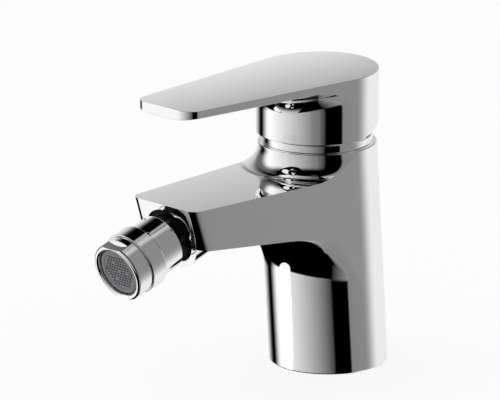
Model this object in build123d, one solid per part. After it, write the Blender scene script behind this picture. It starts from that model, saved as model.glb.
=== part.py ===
from build123d import *
import os
from math import cos, radians, sin, tan

os.makedirs("parts", exist_ok=True)

# Bidet mixer with a single lever. Lengths are in millimetres and angles in degrees.
# The origin is the centre of the base on the deck, the spout points along -Y, and +Z is up.
# The column leans forward to the cartridge axis, which is upright.

# One overrun serves every cut and one gap every pair that only has to stay clear.
overrun = 1.0
free_gap = 0.3
running_gap = 0.05

# Cartridge: base, discs and housing. Its radius sets the chamber, the column and the cap.
cartridge_base_radius = 17.4
cartridge_base_thickness = 6.0
locating_pin_radius = 1.5
locating_pin_length = 2.5
locating_pin_setback = 12.0
inlet_seal_outer_radius = 5.4
inlet_seal_depth = 1.6
cartridge_port_radius = 3.4
fixed_disc_rim = 3.4
fixed_disc_thickness = 4.0
disc_recess_depth = 1.5
moving_disc_margin = 3.0
moving_disc_thickness = 3.5
moving_disc_well_half_length = 6.5
moving_disc_well_half_width = 8.0
moving_disc_well_depth = 1.8
disc_carrier_thickness = 8.0
disc_grip = 2.0
disc_carrier_rim = 1.6
disc_rest_setback = 1.6
housing_wall = 2.0
housing_shoulder_width = 1.8
housing_shoulder_drop = 5.8
housing_top_lift = 0.8
housing_roof_drop = 7.8
outlet_window_width = 12.0
outlet_window_height = 7.0
outlet_window_count = 3
housing_seal_drop = 11.4
housing_seal_width = 2.0
housing_seal_groove_depth = 1.2

# Nut over the cartridge's shoulder
nut_ledge = 2.3
nut_socket_depth = 9.8
nut_top_lift = 3.1
nut_head_inset = 1.4
nut_notch_count = 6
nut_notch_width = 4.0
nut_notch_depth = 1.6
nut_play = 0.1

# Body casting; lifts and drops are measured from its top rim.
column_wall = 3.2
body_height = 89.8
column_lean = 6.6
chamber_depth = 33.8
spout_top_drop = 9.3
spout_reach = 90.9
spout_taper_deg = 4.2
spout_root_thickness = 23.9
spout_underside_rise_deg = 5.5
spout_arch_radius = 19.0
neck_arch_radius = 7.5
spout_corner_radius = 5.0
base_edge_chamfer = 0.5

# Water inlets, stud hole and gasket groove in the base
inlet_half_spacing = 7.5
inlet_advance = 3.6
inlet_bore_radius = 3.6
inlet_thread_radius = 4.6
inlet_thread_depth = 14.0
stud_thread_radius = 3.4
stud_thread_depth = 16.0
stud_setback = 9.5
gasket_inset = 1.8
gasket_width = 2.8
gasket_depth = 1.8

# Cover ring under the lever's cap
cover_ring_ledge = 1.6
cover_ring_shoulder_lift = 3.0
cover_ring_top_lift = 5.2
cover_ring_hole_inset = 1.4
cover_ring_wall = 1.8
cover_ring_roof = 1.0

# Stem carrier and pivot
pivot_drop = 5.8
carrier_shaft_radius = 10.5
carrier_top_lift = 4.6
pivot_pin_radius = 1.5
pivot_pin_inset = 1.3
lift_range_deg = 22.0

# Lever handle; its inner heights are measured from the cap's rim.
cap_clearance = 0.6
cap_wall = 1.6
cap_rim_lift = 3.8
cap_height = 25.5
cap_roof_thickness = 4.5
lever_reach = 90.7
lever_taper_deg = 6.1
lever_tip_radius = 6.5
lever_tip_thickness = 4.3
lever_belly_radius = 86.0
lever_belly_rise_deg = 1.6
lever_arch_radius = 9.0
lever_edge_radius = 0.45
relief_start = 0.5
relief_slope_deg = 16.5
lever_socket_radius = 9.0
lever_socket_lift = 7.4
grub_screw_radius = 2.5
grub_screw_length = 5.0
grub_screw_lift = 12.9
hex_key_radius = 1.4
hex_key_depth = 2.5
index_plug_radius = 3.2
index_plug_head_radius = 3.8
index_plug_head_thickness = 0.6

# Stem
stem_side = 8.0
stem_top_drop = 8.1
stem_ball_radius = 3.4
stem_ball_drop = 10.0
stem_neck_radius = 2.3
stem_heel_drop = 6.0
stem_slide_clearance = 0.2

# Nozzle line: the swivel's bore is square to the spout's leaning front face.
nozzle_dip_deg = 18.0
nozzle_line_drop = 13.2
boss_wall = 2.7
boss_length = 27.0
pocket_margin = 1.5
pocket_depth = 3.0
spigot_radius = 8.0
spigot_bore_depth = 13.0
waterway_radius = 5.5

# Ball nipple, measured along the nozzle line from the spout's front face
ball_radius = 8.5
ball_distance = 10.0
nipple_neck_radius = 5.2
nipple_flange_width = 1.6
nipple_flange_thickness = 1.2
nipple_bore_radius = 3.2
nipple_entry_radius = 5.5
nipple_entry_depth = 8.0
ball_front_share = 0.9
pocket_seal_crown = 0.5

# Slip ring and seat that hold the ball; their angles are measured from straight ahead
slip_ring_thickness = 0.85
slip_ring_front_deg = 104.0
slip_ring_back_deg = 127.0
seat_front_deg = 45.0
seat_back_deg = 65.0
seat_wall = 0.35
seat_lip = 1.1

# Collar of the nozzle: its mouth lies behind the ball and the barrel screws into its front
collar_start = 4.3
collar_end = 14.3
collar_edge_radius = 0.5
collar_thread_step = 0.6
collar_thread_depth = 4.2
collar_wall = 0.95

# Barrel
barrel_end = 21.9
barrel_chamfer = 0.7
barrel_spigot_length = 4.1
barrel_lip_radius = 7.0
barrel_lip_thickness = 1.1
barrel_socket_step = 2.2
barrel_wall = 1.35

# Aerator housing
aerator_gap = 0.5
aerator_inset = 0.55
aerator_end = 29.4
aerator_neck_wall = 0.9
aerator_mouth_ledge = 0.5
aerator_mouth_length = 2.5
aerator_lip_chamfer = 0.5
aerator_flat_depth = 1.15
aerator_flat_length = 4.4

# Aerator insert, its screen and flow plate, and the washer behind it
insert_play = 0.1
insert_mouth_play = 0.4
insert_recess = 1.2
insert_wall = 1.4
screen_rim = 1.6
screen_thickness = 1.0
screen_recess = 0.3
screen_ledge = 0.5
screen_hole_spacing = 1.55
screen_hole_radius = 0.68
screen_ring_count = 4
flow_plate_thickness = 1.2
flow_plate_hole_radius = 0.6
flow_plate_hole_count = 10
flow_plate_circle_share = 0.6
washer_thickness = 1.5
washer_hole_radius = 5.5

# Radii worked out from the cartridge outwards
chamber_radius = cartridge_base_radius + free_gap
nut_socket_radius = chamber_radius + nut_ledge
column_radius = nut_socket_radius + column_wall
cover_ring_radius = nut_socket_radius + cover_ring_ledge
cap_radius = cover_ring_radius + cap_clearance + cap_wall
nut_head_radius = nut_socket_radius - nut_head_inset
cover_ring_hole_radius = nut_head_radius - cover_ring_hole_inset
gasket_outer_radius = column_radius - gasket_inset
gasket_inner_radius = gasket_outer_radius - gasket_width
housing_inner_radius = cartridge_base_radius - housing_wall
housing_neck_radius = cartridge_base_radius - housing_shoulder_width
carrier_flange_radius = housing_inner_radius - free_gap
pivot_pin_half_length = carrier_shaft_radius - pivot_pin_inset
fixed_disc_radius = cartridge_base_radius - fixed_disc_rim
moving_disc_radius = fixed_disc_radius - moving_disc_margin

# Radii worked out from the swivel's ball and spigot outwards
nipple_flange_radius = spigot_radius + nipple_flange_width
pocket_radius = nipple_flange_radius + pocket_margin
boss_radius = pocket_radius + boss_wall
ball_cavity_radius = ball_radius + slip_ring_thickness + 2 * running_gap
collar_thread_radius = ball_cavity_radius + collar_thread_step
collar_radius = collar_thread_radius + collar_wall
seat_radius = ball_radius + seat_wall
barrel_socket_radius = seat_radius + barrel_socket_step
barrel_radius = barrel_socket_radius + barrel_wall
aerator_radius = barrel_radius - aerator_inset
aerator_neck_radius = barrel_socket_radius - running_gap
aerator_bore_radius = aerator_neck_radius - aerator_neck_wall
aerator_mouth_radius = aerator_bore_radius - aerator_mouth_ledge
aerator_flat_offset = aerator_radius - aerator_flat_depth
insert_flange_radius = aerator_bore_radius - insert_play
insert_radius = aerator_mouth_radius - insert_mouth_play
screen_radius = insert_radius - screen_rim

# Heights worked out from the body's rim and the cap's rim
spout_top_height = body_height - spout_top_drop
spout_underside_root = spout_top_height - spout_root_thickness
nozzle_line_height = spout_top_height - nozzle_line_drop
chamber_floor = body_height - chamber_depth
nut_socket_floor = body_height - nut_socket_depth
nut_top_height = body_height + nut_top_lift
housing_shoulder_height = body_height - housing_shoulder_drop
housing_top_height = body_height + housing_top_lift
housing_roof_height = body_height - housing_roof_drop
housing_seal_height = body_height - housing_seal_drop
cover_ring_shoulder_height = body_height + cover_ring_shoulder_lift
cover_ring_top_height = body_height + cover_ring_top_lift
pivot_height = body_height - pivot_drop
carrier_top_height = body_height + carrier_top_lift
cap_rim_height = body_height + cap_rim_lift
lever_top_height = cap_rim_height + cap_height
lever_socket_height = cap_rim_height + lever_socket_lift
grub_screw_height = cap_rim_height + grub_screw_lift
stem_top_height = lever_top_height - stem_top_drop
stem_ball_height = pivot_height - stem_ball_drop
lever_slab_floor = lever_top_height - 2 * lever_arch_radius

# Places in the cartridge and along the nozzle line
cartridge_base_top = chamber_floor + cartridge_base_thickness
fixed_disc_floor = cartridge_base_top - disc_recess_depth
fixed_disc_top = fixed_disc_floor + fixed_disc_thickness
moving_disc_top = fixed_disc_top + moving_disc_thickness
disc_carrier_top = moving_disc_top + disc_carrier_thickness
carrier_flange_floor = disc_carrier_top + free_gap
seat_end = ball_distance + (ball_radius + running_gap) * cos(radians(seat_front_deg)) + seat_lip
barrel_socket_floor = seat_end + barrel_lip_thickness
insert_start = barrel_socket_floor + washer_thickness

# Axes
cartridge_y = -column_lean
column_axis = Plane(origin=(0, 0, 0), x_dir=(1, 0, 0), z_dir=(0, -column_lean, body_height))
cartridge_axis = Plane(origin=(0, cartridge_y, 0), x_dir=(1, 0, 0), z_dir=(0, 0, 1))
nozzle_direction = Vector(0, -cos(radians(nozzle_dip_deg)), -sin(radians(nozzle_dip_deg)))
face_y = -spout_reach + (spout_top_height - nozzle_line_height) * tan(radians(nozzle_dip_deg))
nozzle_axis = Plane(origin=(0, face_y, nozzle_line_height), x_dir=(1, 0, 0), z_dir=nozzle_direction)
stud_axis = Plane(origin=(0, stud_setback, 0))
locating_axis = Plane(origin=(0, cartridge_y + locating_pin_setback, 0))
disc_axis = Plane(origin=(0, cartridge_y + disc_rest_setback, 0))
screw_axis = Plane(origin=(0, cartridge_y, grub_screw_height), x_dir=(1, 0, 0), z_dir=(0, 1, 0))
upright = (Align.CENTER, Align.CENTER, Align.MIN)
edge_sample_shares = (0.0, 0.25, 0.5, 0.75)


def upright_cylinder(radius, bottom, top, plane=cartridge_axis):
    """A cylinder about a plane's axis, between two heights along that axis."""
    return plane * Pos(0, 0, bottom) * Cylinder(radius, top - bottom, align=upright)


def upright_ring(outer, inner, bottom, top, plane=cartridge_axis):
    """A plain ring about a plane's axis."""
    bore = upright_cylinder(inner, bottom - overrun, top + overrun, plane)
    return upright_cylinder(outer, bottom, top, plane) - bore


def turned(points, plane):
    """A solid of revolution about a plane's axis, from (radius, height) points."""
    outline = make_face(Polyline([(radius, 0, height) for radius, height in points], close=True))
    return plane * revolve(outline, Axis.Z)


def half_space(plane):
    """A box that holds the whole mixer behind a plane, on the side its normal points away from."""
    size = 2 * (lever_top_height + spout_reach)
    return plane * Box(size, size, size, align=(Align.CENTER, Align.CENTER, Align.MAX))


def level(height):
    """A level plane that faces up."""
    return Plane(origin=(0, 0, height))


def leaning_face(reach, height, dip_deg):
    """The plane of an arm's front face, through its top edge, leaning back below by the dip."""
    dip = radians(dip_deg)
    return Plane(origin=(0, -reach, height), x_dir=(1, 0, 0), z_dir=(0, -cos(dip), -sin(dip)))


def plan_arm(plane, radius, taper_deg, tip, corner_radius, bottom, top):
    """A prism along a post's axis whose straight sides start tangent to the post.

    The sides close in towards the tip by the taper, and the tip's two corners are rounded.
    """
    taper = radians(taper_deg)
    end = plane.origin.Y - tip.origin.Y + (top - bottom)
    touch_x, touch_y = radius * cos(taper), -radius * sin(taper)
    narrow = (radius - end * sin(taper)) / cos(taper)
    outline = Polyline([(touch_x, touch_y), (-touch_x, touch_y), (-narrow, -end), (narrow, -end)], close=True)
    prism = extrude(plane * Pos(0, 0, bottom) * make_face(outline), top - bottom) & half_space(tip)
    front = prism.faces().sort_by(Axis.Y)[0]
    corners = front.edges().filter_by(lambda edge: abs(edge.tangent_at(0).Z) > abs(edge.tangent_at(0).X))
    return fillet(corners, corner_radius)


def distance_to_axis(point, plane):
    """The distance of a point from a plane's own axis."""
    offset = point - plane.origin
    along = offset.dot(plane.z_dir)
    return (offset - plane.z_dir * along).length


def blend_round_post(joined, slab_face, plane, radius, blend_radius):
    """Blends the corner between a round post and one face of a slab, all round the post."""

    def on_corner(edge):
        points = [edge.position_at(share) for share in edge_sample_shares]
        on_post = all(abs(distance_to_axis(point, plane) - radius) < running_gap for point in points)
        return on_post and slab_face.distance_to(points[0]) < running_gap and edge.is_closed

    return fillet(joined.edges().filter_by(on_corner), blend_radius)


def column_post():
    """The leaning round column, cut level at the deck and at its top rim."""
    post = upright_cylinder(column_radius, -column_radius, body_height + column_radius, column_axis)
    post = post & half_space(level(body_height)) & half_space(-level(0))
    foot = post.faces().sort_by(Axis.Z)[0]
    return chamfer(foot.edges(), base_edge_chamfer)


def spout_slab():
    """A wide slab between the spout's level top and its rising underside."""
    wide = column_radius + 2 * spout_arch_radius
    rise = tan(radians(spout_underside_rise_deg))
    front = -(spout_reach + boss_radius)
    low_front = spout_underside_root + (cartridge_y - front) * rise
    low_back = spout_underside_root + (cartridge_y - wide) * rise
    side = Polyline(
        [
            (0, front, low_front),
            (0, wide, low_back),
            (0, wide, spout_top_height),
            (0, front, spout_top_height),
        ],
        close=True,
    )
    return extrude(make_face(side), wide, dir=(1, 0, 0), both=True)


def spout_with_column():
    """Column and spout, blended by the arch under the spout and the small one at the neck."""
    slab = spout_slab()
    upper = slab.faces().sort_by(Axis.Z)[-1]
    lower = slab.faces().sort_by(Axis.Z)[0]
    joined = column_post() + slab
    joined = blend_round_post(joined, upper, column_axis, column_radius, neck_arch_radius)
    joined = blend_round_post(joined, lower, column_axis, column_radius, spout_arch_radius)
    tip = leaning_face(spout_reach, spout_top_height, nozzle_dip_deg)
    arm = plan_arm(
        column_axis, column_radius, spout_taper_deg, tip, spout_corner_radius,
        column_radius, body_height + column_radius,
    )
    return column_post() + (joined & arm)


def tap_body():
    """The casting: column and spout, with the chamber, waterways, sockets and gasket groove."""
    boss = upright_cylinder(boss_radius, -boss_length, 0, nozzle_axis)
    body = spout_with_column() + (boss & half_space(level(spout_top_height)))
    cuts = [
        upright_cylinder(chamber_radius, chamber_floor, body_height + overrun),
        upright_cylinder(nut_socket_radius, nut_socket_floor, body_height + overrun),
        upright_cylinder(pocket_radius, -pocket_depth, overrun, nozzle_axis),
        upright_cylinder(spigot_radius, -pocket_depth - spigot_bore_depth, 0, nozzle_axis),
        waterway(),
        upright_cylinder(stud_thread_radius, -overrun, stud_thread_depth, stud_axis),
        upright_ring(gasket_outer_radius, gasket_inner_radius, -overrun, gasket_depth, Plane.XY),
        upright_cylinder(
            locating_pin_radius, chamber_floor - locating_pin_length, chamber_floor, locating_axis
        ),
    ]
    for side in (-1, 1):
        cuts.append(upright_cylinder(inlet_bore_radius, 0, chamber_floor + overrun, inlet_axis(side)))
        cuts.append(upright_cylinder(inlet_thread_radius, -overrun, inlet_thread_depth, inlet_axis(side)))
    for cut in cuts:
        body = body - cut
    return body


def waterway():
    """The level bore from the chamber to the inner end of the nipple's socket."""
    depth = pocket_depth + spigot_bore_depth
    end = nozzle_axis.origin - nozzle_axis.z_dir * (depth - spigot_radius)
    bore = Plane(origin=(0, end.Y, end.Z), x_dir=(1, 0, 0), z_dir=(0, 1, 0))
    return upright_cylinder(waterway_radius, 0, cartridge_y - end.Y, bore)


def inlet_axis(side):
    """The upright axis of one water inlet, hot at side -1 and cold at side 1."""
    return Plane(origin=(side * inlet_half_spacing, -inlet_advance, 0))


def base_gasket():
    """The ring in the groove under the base."""
    return upright_ring(gasket_outer_radius, gasket_inner_radius, 0, gasket_depth, Plane.XY)


def cartridge_base():
    """The cartridge's foot, with its ports, seal pockets, disc recess and locating pin."""
    foot = upright_cylinder(cartridge_base_radius, chamber_floor, cartridge_base_top)
    foot = foot + upright_cylinder(
        locating_pin_radius, chamber_floor - locating_pin_length, cartridge_base_top, locating_axis
    )
    foot = foot - upright_cylinder(fixed_disc_radius, fixed_disc_floor, cartridge_base_top + overrun)
    for side in (-1, 1):
        port = inlet_axis(side)
        foot = foot - upright_cylinder(
            cartridge_port_radius, chamber_floor - overrun, cartridge_base_top, port
        )
        foot = foot - upright_cylinder(
            inlet_seal_outer_radius, chamber_floor - overrun, chamber_floor + inlet_seal_depth, port
        )
    return foot


def inlet_seal(side):
    """The seal between an inlet bore and its port in the cartridge's foot."""
    return upright_ring(
        inlet_seal_outer_radius,
        cartridge_port_radius,
        chamber_floor,
        chamber_floor + inlet_seal_depth,
        inlet_axis(side),
    )


def fixed_disc():
    """The ceramic disc in the foot, with its two inlet holes."""
    disc = upright_cylinder(fixed_disc_radius, fixed_disc_floor, fixed_disc_top)
    for side in (-1, 1):
        disc = disc - upright_cylinder(
            cartridge_port_radius, fixed_disc_floor - overrun, fixed_disc_top + overrun, inlet_axis(side)
        )
    return disc


def moving_disc():
    """The ceramic disc that slides and turns on the fixed one, with the mixing well in its face."""
    disc = upright_cylinder(moving_disc_radius, fixed_disc_top, moving_disc_top, disc_axis)
    well = disc_axis * Pos(0, 0, fixed_disc_top) * Box(
        2 * moving_disc_well_half_width,
        2 * moving_disc_well_half_length,
        2 * moving_disc_well_depth,
    )
    return disc - fillet(well.edges().filter_by(Axis.Z), moving_disc_well_half_length / 2)


def disc_carrier():
    """The slider that grips the moving disc and takes the stem's ball in its slot."""
    radius = moving_disc_radius + disc_carrier_rim
    slider = upright_cylinder(radius, moving_disc_top - disc_grip, disc_carrier_top, disc_axis)
    slider = slider - upright_cylinder(
        moving_disc_radius, fixed_disc_top, moving_disc_top, disc_axis
    )
    half_slot = stem_ball_radius + stem_slide_clearance
    slot = cartridge_axis * Pos(0, 0, stem_ball_height - stem_ball_radius - free_gap) * Box(
        4 * half_slot, 2 * half_slot, disc_carrier_top, align=upright
    )
    return slider - slot


def cartridge_housing():
    """The cartridge's shell: windows below, a seal groove, the nut's shoulder and the carrier's bore."""
    shell = upright_cylinder(cartridge_base_radius, cartridge_base_top, housing_shoulder_height)
    shell = shell + upright_cylinder(housing_neck_radius, housing_shoulder_height, housing_top_height)
    shell = shell - upright_cylinder(
        housing_inner_radius, cartridge_base_top - overrun, housing_roof_height
    )
    shell = shell - upright_cylinder(
        carrier_shaft_radius + free_gap, housing_roof_height - overrun, housing_top_height + overrun
    )
    shell = shell - housing_groove()
    window = Pos(0, 0, cartridge_base_top) * Box(
        outlet_window_width, 2 * cartridge_base_radius, outlet_window_height,
        align=(Align.CENTER, Align.MAX, Align.MIN),
    )
    spread = 360 / (outlet_window_count + 1)
    for place in range(outlet_window_count):
        turn = spread * (place - (outlet_window_count - 1) / 2)
        shell = shell - cartridge_axis * Rot(0, 0, turn) * window
    return shell


def housing_groove():
    """The groove round the housing for its seal."""
    half = housing_seal_width / 2
    return upright_ring(
        cartridge_base_radius + overrun,
        cartridge_base_radius - housing_seal_groove_depth,
        housing_seal_height - half,
        housing_seal_height + half,
    )


def housing_seal():
    """The seal between the housing and the chamber's wall."""
    half = housing_seal_width / 2
    inner = cartridge_base_radius - housing_seal_groove_depth + running_gap
    ring = upright_ring(chamber_radius, inner, housing_seal_height - half, housing_seal_height + half)
    outer_edges = ring.edges().filter_by(GeomType.CIRCLE).filter_by(
        lambda edge: edge.radius > cartridge_base_radius
    )
    return chamfer(outer_edges, chamber_radius - cartridge_base_radius)


def cartridge_nut():
    """The notched nut that holds the cartridge down by its shoulder."""
    nut = upright_cylinder(nut_socket_radius - nut_play, housing_shoulder_height, body_height)
    nut = nut + upright_cylinder(nut_head_radius, housing_shoulder_height, nut_top_height)
    nut = nut - upright_cylinder(
        housing_neck_radius + nut_play, housing_shoulder_height - overrun, nut_top_height + overrun
    )
    notch = Pos(nut_head_radius, 0, nut_top_height) * Box(
        2 * nut_notch_depth, nut_notch_width, 2 * nut_notch_depth
    )
    for place in range(nut_notch_count):
        nut = nut - cartridge_axis * Rot(0, 0, place * 360 / nut_notch_count) * notch
    return nut


def cover_ring():
    """The plated ring that hides the nut, with a low dome that clears the tilting cap."""
    inner = cover_ring_radius - cover_ring_wall
    roof_inner = nut_head_radius + cover_ring_roof / 2
    return turned(
        [
            (nut_socket_radius, body_height),
            (cover_ring_radius, body_height),
            (cover_ring_radius, cover_ring_shoulder_height),
            (roof_inner, cover_ring_top_height - cover_ring_roof / 2),
            (cover_ring_hole_radius, cover_ring_top_height),
            (cover_ring_hole_radius, nut_top_height + running_gap),
            (roof_inner, nut_top_height + running_gap),
            (inner, cover_ring_shoulder_height - cover_ring_roof),
            (nut_socket_radius, cover_ring_shoulder_height - 2 * cover_ring_roof),
        ],
        cartridge_axis,
    )


def stem_carrier():
    """The turning piece that the stem swings in, with its slot and the pivot pin's hole."""
    carrier = upright_cylinder(carrier_flange_radius, carrier_flange_floor, housing_roof_height - free_gap)
    carrier = carrier + upright_cylinder(
        carrier_shaft_radius, housing_roof_height - overrun, carrier_top_height
    )
    return carrier - stem_slot() - pivot_hole(pivot_pin_radius)


def stem_slot():
    """The bow-tie slot that lets the stem lean back above its pivot and forward below it."""
    lean = tan(radians(lift_range_deg))
    half = stem_side / 2 + free_gap
    leaned = half / cos(radians(lift_range_deg))
    waist = (leaned - half) / lean
    above = carrier_top_height - pivot_height + overrun
    below = pivot_height - carrier_flange_floor + overrun
    side = Polyline(
        [
            (0, cartridge_y - half, pivot_height + above),
            (0, cartridge_y + leaned + above * lean, pivot_height + above),
            (0, cartridge_y + half, pivot_height - waist),
            (0, cartridge_y + half, pivot_height - below),
            (0, cartridge_y - leaned - below * lean, pivot_height - below),
            (0, cartridge_y - half, pivot_height + waist),
        ],
        close=True,
    )
    return extrude(make_face(side), half, dir=(1, 0, 0), both=True)


def pivot_hole(radius):
    """A cross bar along the pivot's axis, as long as the pivot pin."""
    bar = Plane(origin=(0, cartridge_y, pivot_height), x_dir=(0, 1, 0), z_dir=(1, 0, 0))
    return upright_cylinder(radius, -pivot_pin_half_length, pivot_pin_half_length, bar)


def pivot_pin():
    """The pin across the carrier that the stem swings on."""
    return pivot_hole(pivot_pin_radius)


def stem():
    """The square spindle from the disc slider's slot up into the lever's socket."""
    square_bottom = pivot_height - stem_heel_drop
    bar = cartridge_axis * Pos(0, 0, square_bottom) * Box(
        stem_side, stem_side, stem_top_height - square_bottom, align=upright
    )
    bar = bar + upright_cylinder(stem_neck_radius, stem_ball_height, pivot_height)
    bar = bar + cartridge_axis * Pos(0, 0, stem_ball_height) * Sphere(stem_ball_radius)
    return bar - pivot_hole(pivot_pin_radius + running_gap)


def lever_slab():
    """A wide slab with a barrel-shaped underside that thins towards the lever's tip."""
    wide = cap_radius + 2 * lever_arch_radius
    back = lever_reach + wide
    tip_axis_height = lever_top_height - lever_tip_thickness + lever_belly_radius
    barrel_line = Plane(
        origin=(0, -lever_reach, tip_axis_height),
        x_dir=(1, 0, 0),
        z_dir=(0, cos(radians(lever_belly_rise_deg)), -sin(radians(lever_belly_rise_deg))),
    )
    barrel = upright_cylinder(lever_belly_radius, -wide, back + wide, barrel_line)
    slab = Pos(0, cartridge_y, lever_slab_floor) * Box(
        2 * wide, 2 * back, 2 * lever_arch_radius + cap_roof_thickness, align=upright
    )
    return slab & barrel


def lever_outside():
    """Cap and blade, blended by the arch under the blade, with the relief behind."""
    slab = lever_slab()
    roof = lever_slab_floor + 2 * lever_arch_radius + cap_roof_thickness
    post = upright_cylinder(cap_radius, cap_rim_height, roof)
    lower = slab.faces().filter_by(GeomType.CYLINDER)[0]
    joined = blend_round_post(post + slab, lower, cartridge_axis, cap_radius, lever_arch_radius)
    joined = joined & half_space(level(lever_top_height))
    tip = leaning_face(lever_reach, lever_top_height, 0)
    blade = plan_arm(
        cartridge_axis, cap_radius, lever_taper_deg, tip, lever_tip_radius, cap_rim_height,
        lever_top_height,
    )
    cap = upright_cylinder(cap_radius, cap_rim_height, lever_top_height)
    outside = cap + (joined & blade)
    top = outside.faces().sort_by(Axis.Z)[-1]
    return fillet(top.edges(), lever_edge_radius)


def lever_handle():
    """The hollow cap and blade, with the stem's socket, the screw's hole and the rear relief."""
    handle = lever_outside()
    roof = lever_top_height - cap_roof_thickness
    hollow = upright_cylinder(cap_radius - cap_wall, cap_rim_height - overrun, roof)
    hollow = hollow - upright_cylinder(lever_socket_radius, lever_socket_height, lever_top_height)
    handle = handle - hollow
    handle = handle - cartridge_axis * Pos(0, 0, lever_socket_height - overrun) * Box(
        stem_side, stem_side, stem_top_height - lever_socket_height + overrun, align=upright
    )
    handle = handle - upright_cylinder(grub_screw_radius, 0, lever_socket_radius, screw_axis)
    handle = handle - upright_cylinder(
        index_plug_radius, lever_socket_radius, cap_radius + overrun, screw_axis
    )
    slope = radians(relief_slope_deg)
    relief = Plane(
        origin=(0, cartridge_y - relief_start, cap_rim_height),
        x_dir=(1, 0, 0),
        z_dir=(0, -sin(slope), cos(slope)),
    )
    return handle - half_space(relief)


def grub_screw():
    """The socket screw that clamps the lever on the stem."""
    start = stem_side / 2
    screw = upright_cylinder(grub_screw_radius, start, start + grub_screw_length, screw_axis)
    key = RegularPolygon(hex_key_radius, 6)
    socket = extrude(screw_axis * Pos(0, 0, start + grub_screw_length) * key, -hex_key_depth)
    return screw - socket


def index_plug():
    """The plug that closes the screw's hole in the back of the cap."""
    inside = cap_radius - cap_wall
    plug = upright_cylinder(index_plug_radius, inside, cap_radius, screw_axis)
    head = upright_cylinder(
        index_plug_head_radius, cap_radius - index_plug_head_thickness,
        cap_radius + index_plug_head_thickness, screw_axis
    )
    round_cap = upright_cylinder(cap_radius + index_plug_head_thickness, cap_rim_height, lever_top_height)
    shell = round_cap - upright_cylinder(cap_radius, cap_rim_height - overrun, lever_top_height + overrun)
    return plug + (head & shell)


def ball_nipple():
    """The fixed part of the swivel: spigot, flange, neck and bored ball."""
    spigot_end = -pocket_depth - spigot_bore_depth + free_gap
    ball_front = ball_distance + ball_radius * ball_front_share
    nipple = upright_cylinder(spigot_radius - running_gap, spigot_end, -pocket_depth, nozzle_axis)
    nipple = nipple + upright_cylinder(
        nipple_flange_radius, -pocket_depth, nipple_flange_thickness - pocket_depth, nozzle_axis
    )
    nipple = nipple + upright_cylinder(nipple_neck_radius, -pocket_depth, ball_distance, nozzle_axis)
    ball = nozzle_axis * Pos(0, 0, ball_distance) * Sphere(ball_radius)
    nipple = nipple + (ball & upright_cylinder(ball_radius, 0, ball_front, nozzle_axis))
    nipple = nipple - upright_cylinder(nipple_bore_radius, spigot_end, ball_front + overrun, nozzle_axis)
    return nipple - upright_cylinder(
        nipple_entry_radius, spigot_end - overrun, spigot_end + nipple_entry_depth, nozzle_axis
    )


def pocket_seal():
    """The soft ring that fills the pocket round the nipple's neck, with a crowned face."""
    inner = nipple_neck_radius + running_gap
    outer = pocket_radius - running_gap
    step = nipple_flange_thickness - pocket_depth
    skirt = nipple_flange_radius + running_gap
    rim = -pocket_seal_crown
    crown = make_face(
        [
            Polyline(
                [
                    (inner, 0, rim),
                    (inner, 0, step),
                    (skirt, 0, step),
                    (skirt, 0, -pocket_depth),
                    (outer, 0, -pocket_depth),
                    (outer, 0, rim),
                ]
            ),
            ThreePointArc((outer, 0, rim), ((outer + inner) / 2, 0, 0), (inner, 0, rim)),
        ]
    )
    return nozzle_axis * revolve(crown, Axis.Z)


def on_ball(radius, angle_deg):
    """A point at a distance from the ball's centre and an angle from straight ahead, in XZ."""
    angle = radians(angle_deg)
    return (radius * sin(angle), 0, ball_distance + radius * cos(angle))


def ball_slip_ring():
    """The thin bearing band behind the ball's equator, which only follows the swivel's panning."""
    front, back = slip_ring_front_deg, slip_ring_back_deg
    middle = (front + back) / 2
    inner = ball_radius + running_gap
    outer = inner + slip_ring_thickness
    band = make_face(
        [
            ThreePointArc(on_ball(outer, front), on_ball(outer, middle), on_ball(outer, back)),
            Line(on_ball(outer, back), on_ball(inner, back)),
            ThreePointArc(on_ball(inner, back), on_ball(inner, middle), on_ball(inner, front)),
            Line(on_ball(inner, front), on_ball(outer, front)),
        ]
    )
    return nozzle_axis * revolve(band, Axis.Z)


def ball_seat():
    """The seat in front of the ball, which follows the panning and tilting but not the spin."""
    inner = ball_radius + running_gap
    front, back = on_ball(inner, seat_front_deg), on_ball(inner, seat_back_deg)
    outline = make_face(
        [
            ThreePointArc(front, on_ball(inner, (seat_front_deg + seat_back_deg) / 2), back),
            Polyline(
                [back, (seat_radius, 0, back[2]), (seat_radius, 0, seat_end), (front[0], 0, seat_end), front]
            ),
        ]
    )
    return nozzle_axis * revolve(outline, Axis.Z)


def nozzle_collar():
    """The collar round the ball: a round cavity, a mouth behind and a thread in front."""
    collar = upright_cylinder(collar_radius, collar_start, collar_end, nozzle_axis)
    rear = collar.faces().filter_by(GeomType.PLANE).sort_by(Axis.Y)[-1]
    collar = fillet(rear.edges(), collar_edge_radius)
    collar = collar - nozzle_axis * Pos(0, 0, ball_distance) * Sphere(ball_cavity_radius)
    return collar - upright_cylinder(
        collar_thread_radius, collar_end - collar_thread_depth, collar_end + overrun, nozzle_axis
    )


def nozzle_barrel():
    """The widest section: a threaded spigot, the seat's bore and lip, and the aerator's socket."""
    spigot = collar_thread_radius - running_gap
    start = collar_end - barrel_spigot_length
    bore = seat_radius + running_gap
    return turned(
        [
            (spigot, start),
            (spigot, collar_end),
            (barrel_radius - barrel_chamfer, collar_end),
            (barrel_radius, collar_end + barrel_chamfer),
            (barrel_radius, barrel_end),
            (barrel_socket_radius, barrel_end),
            (barrel_socket_radius, barrel_socket_floor),
            (barrel_lip_radius, barrel_socket_floor),
            (barrel_lip_radius, seat_end),
            (bore, seat_end),
            (bore, start),
        ],
        nozzle_axis,
    )


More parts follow.
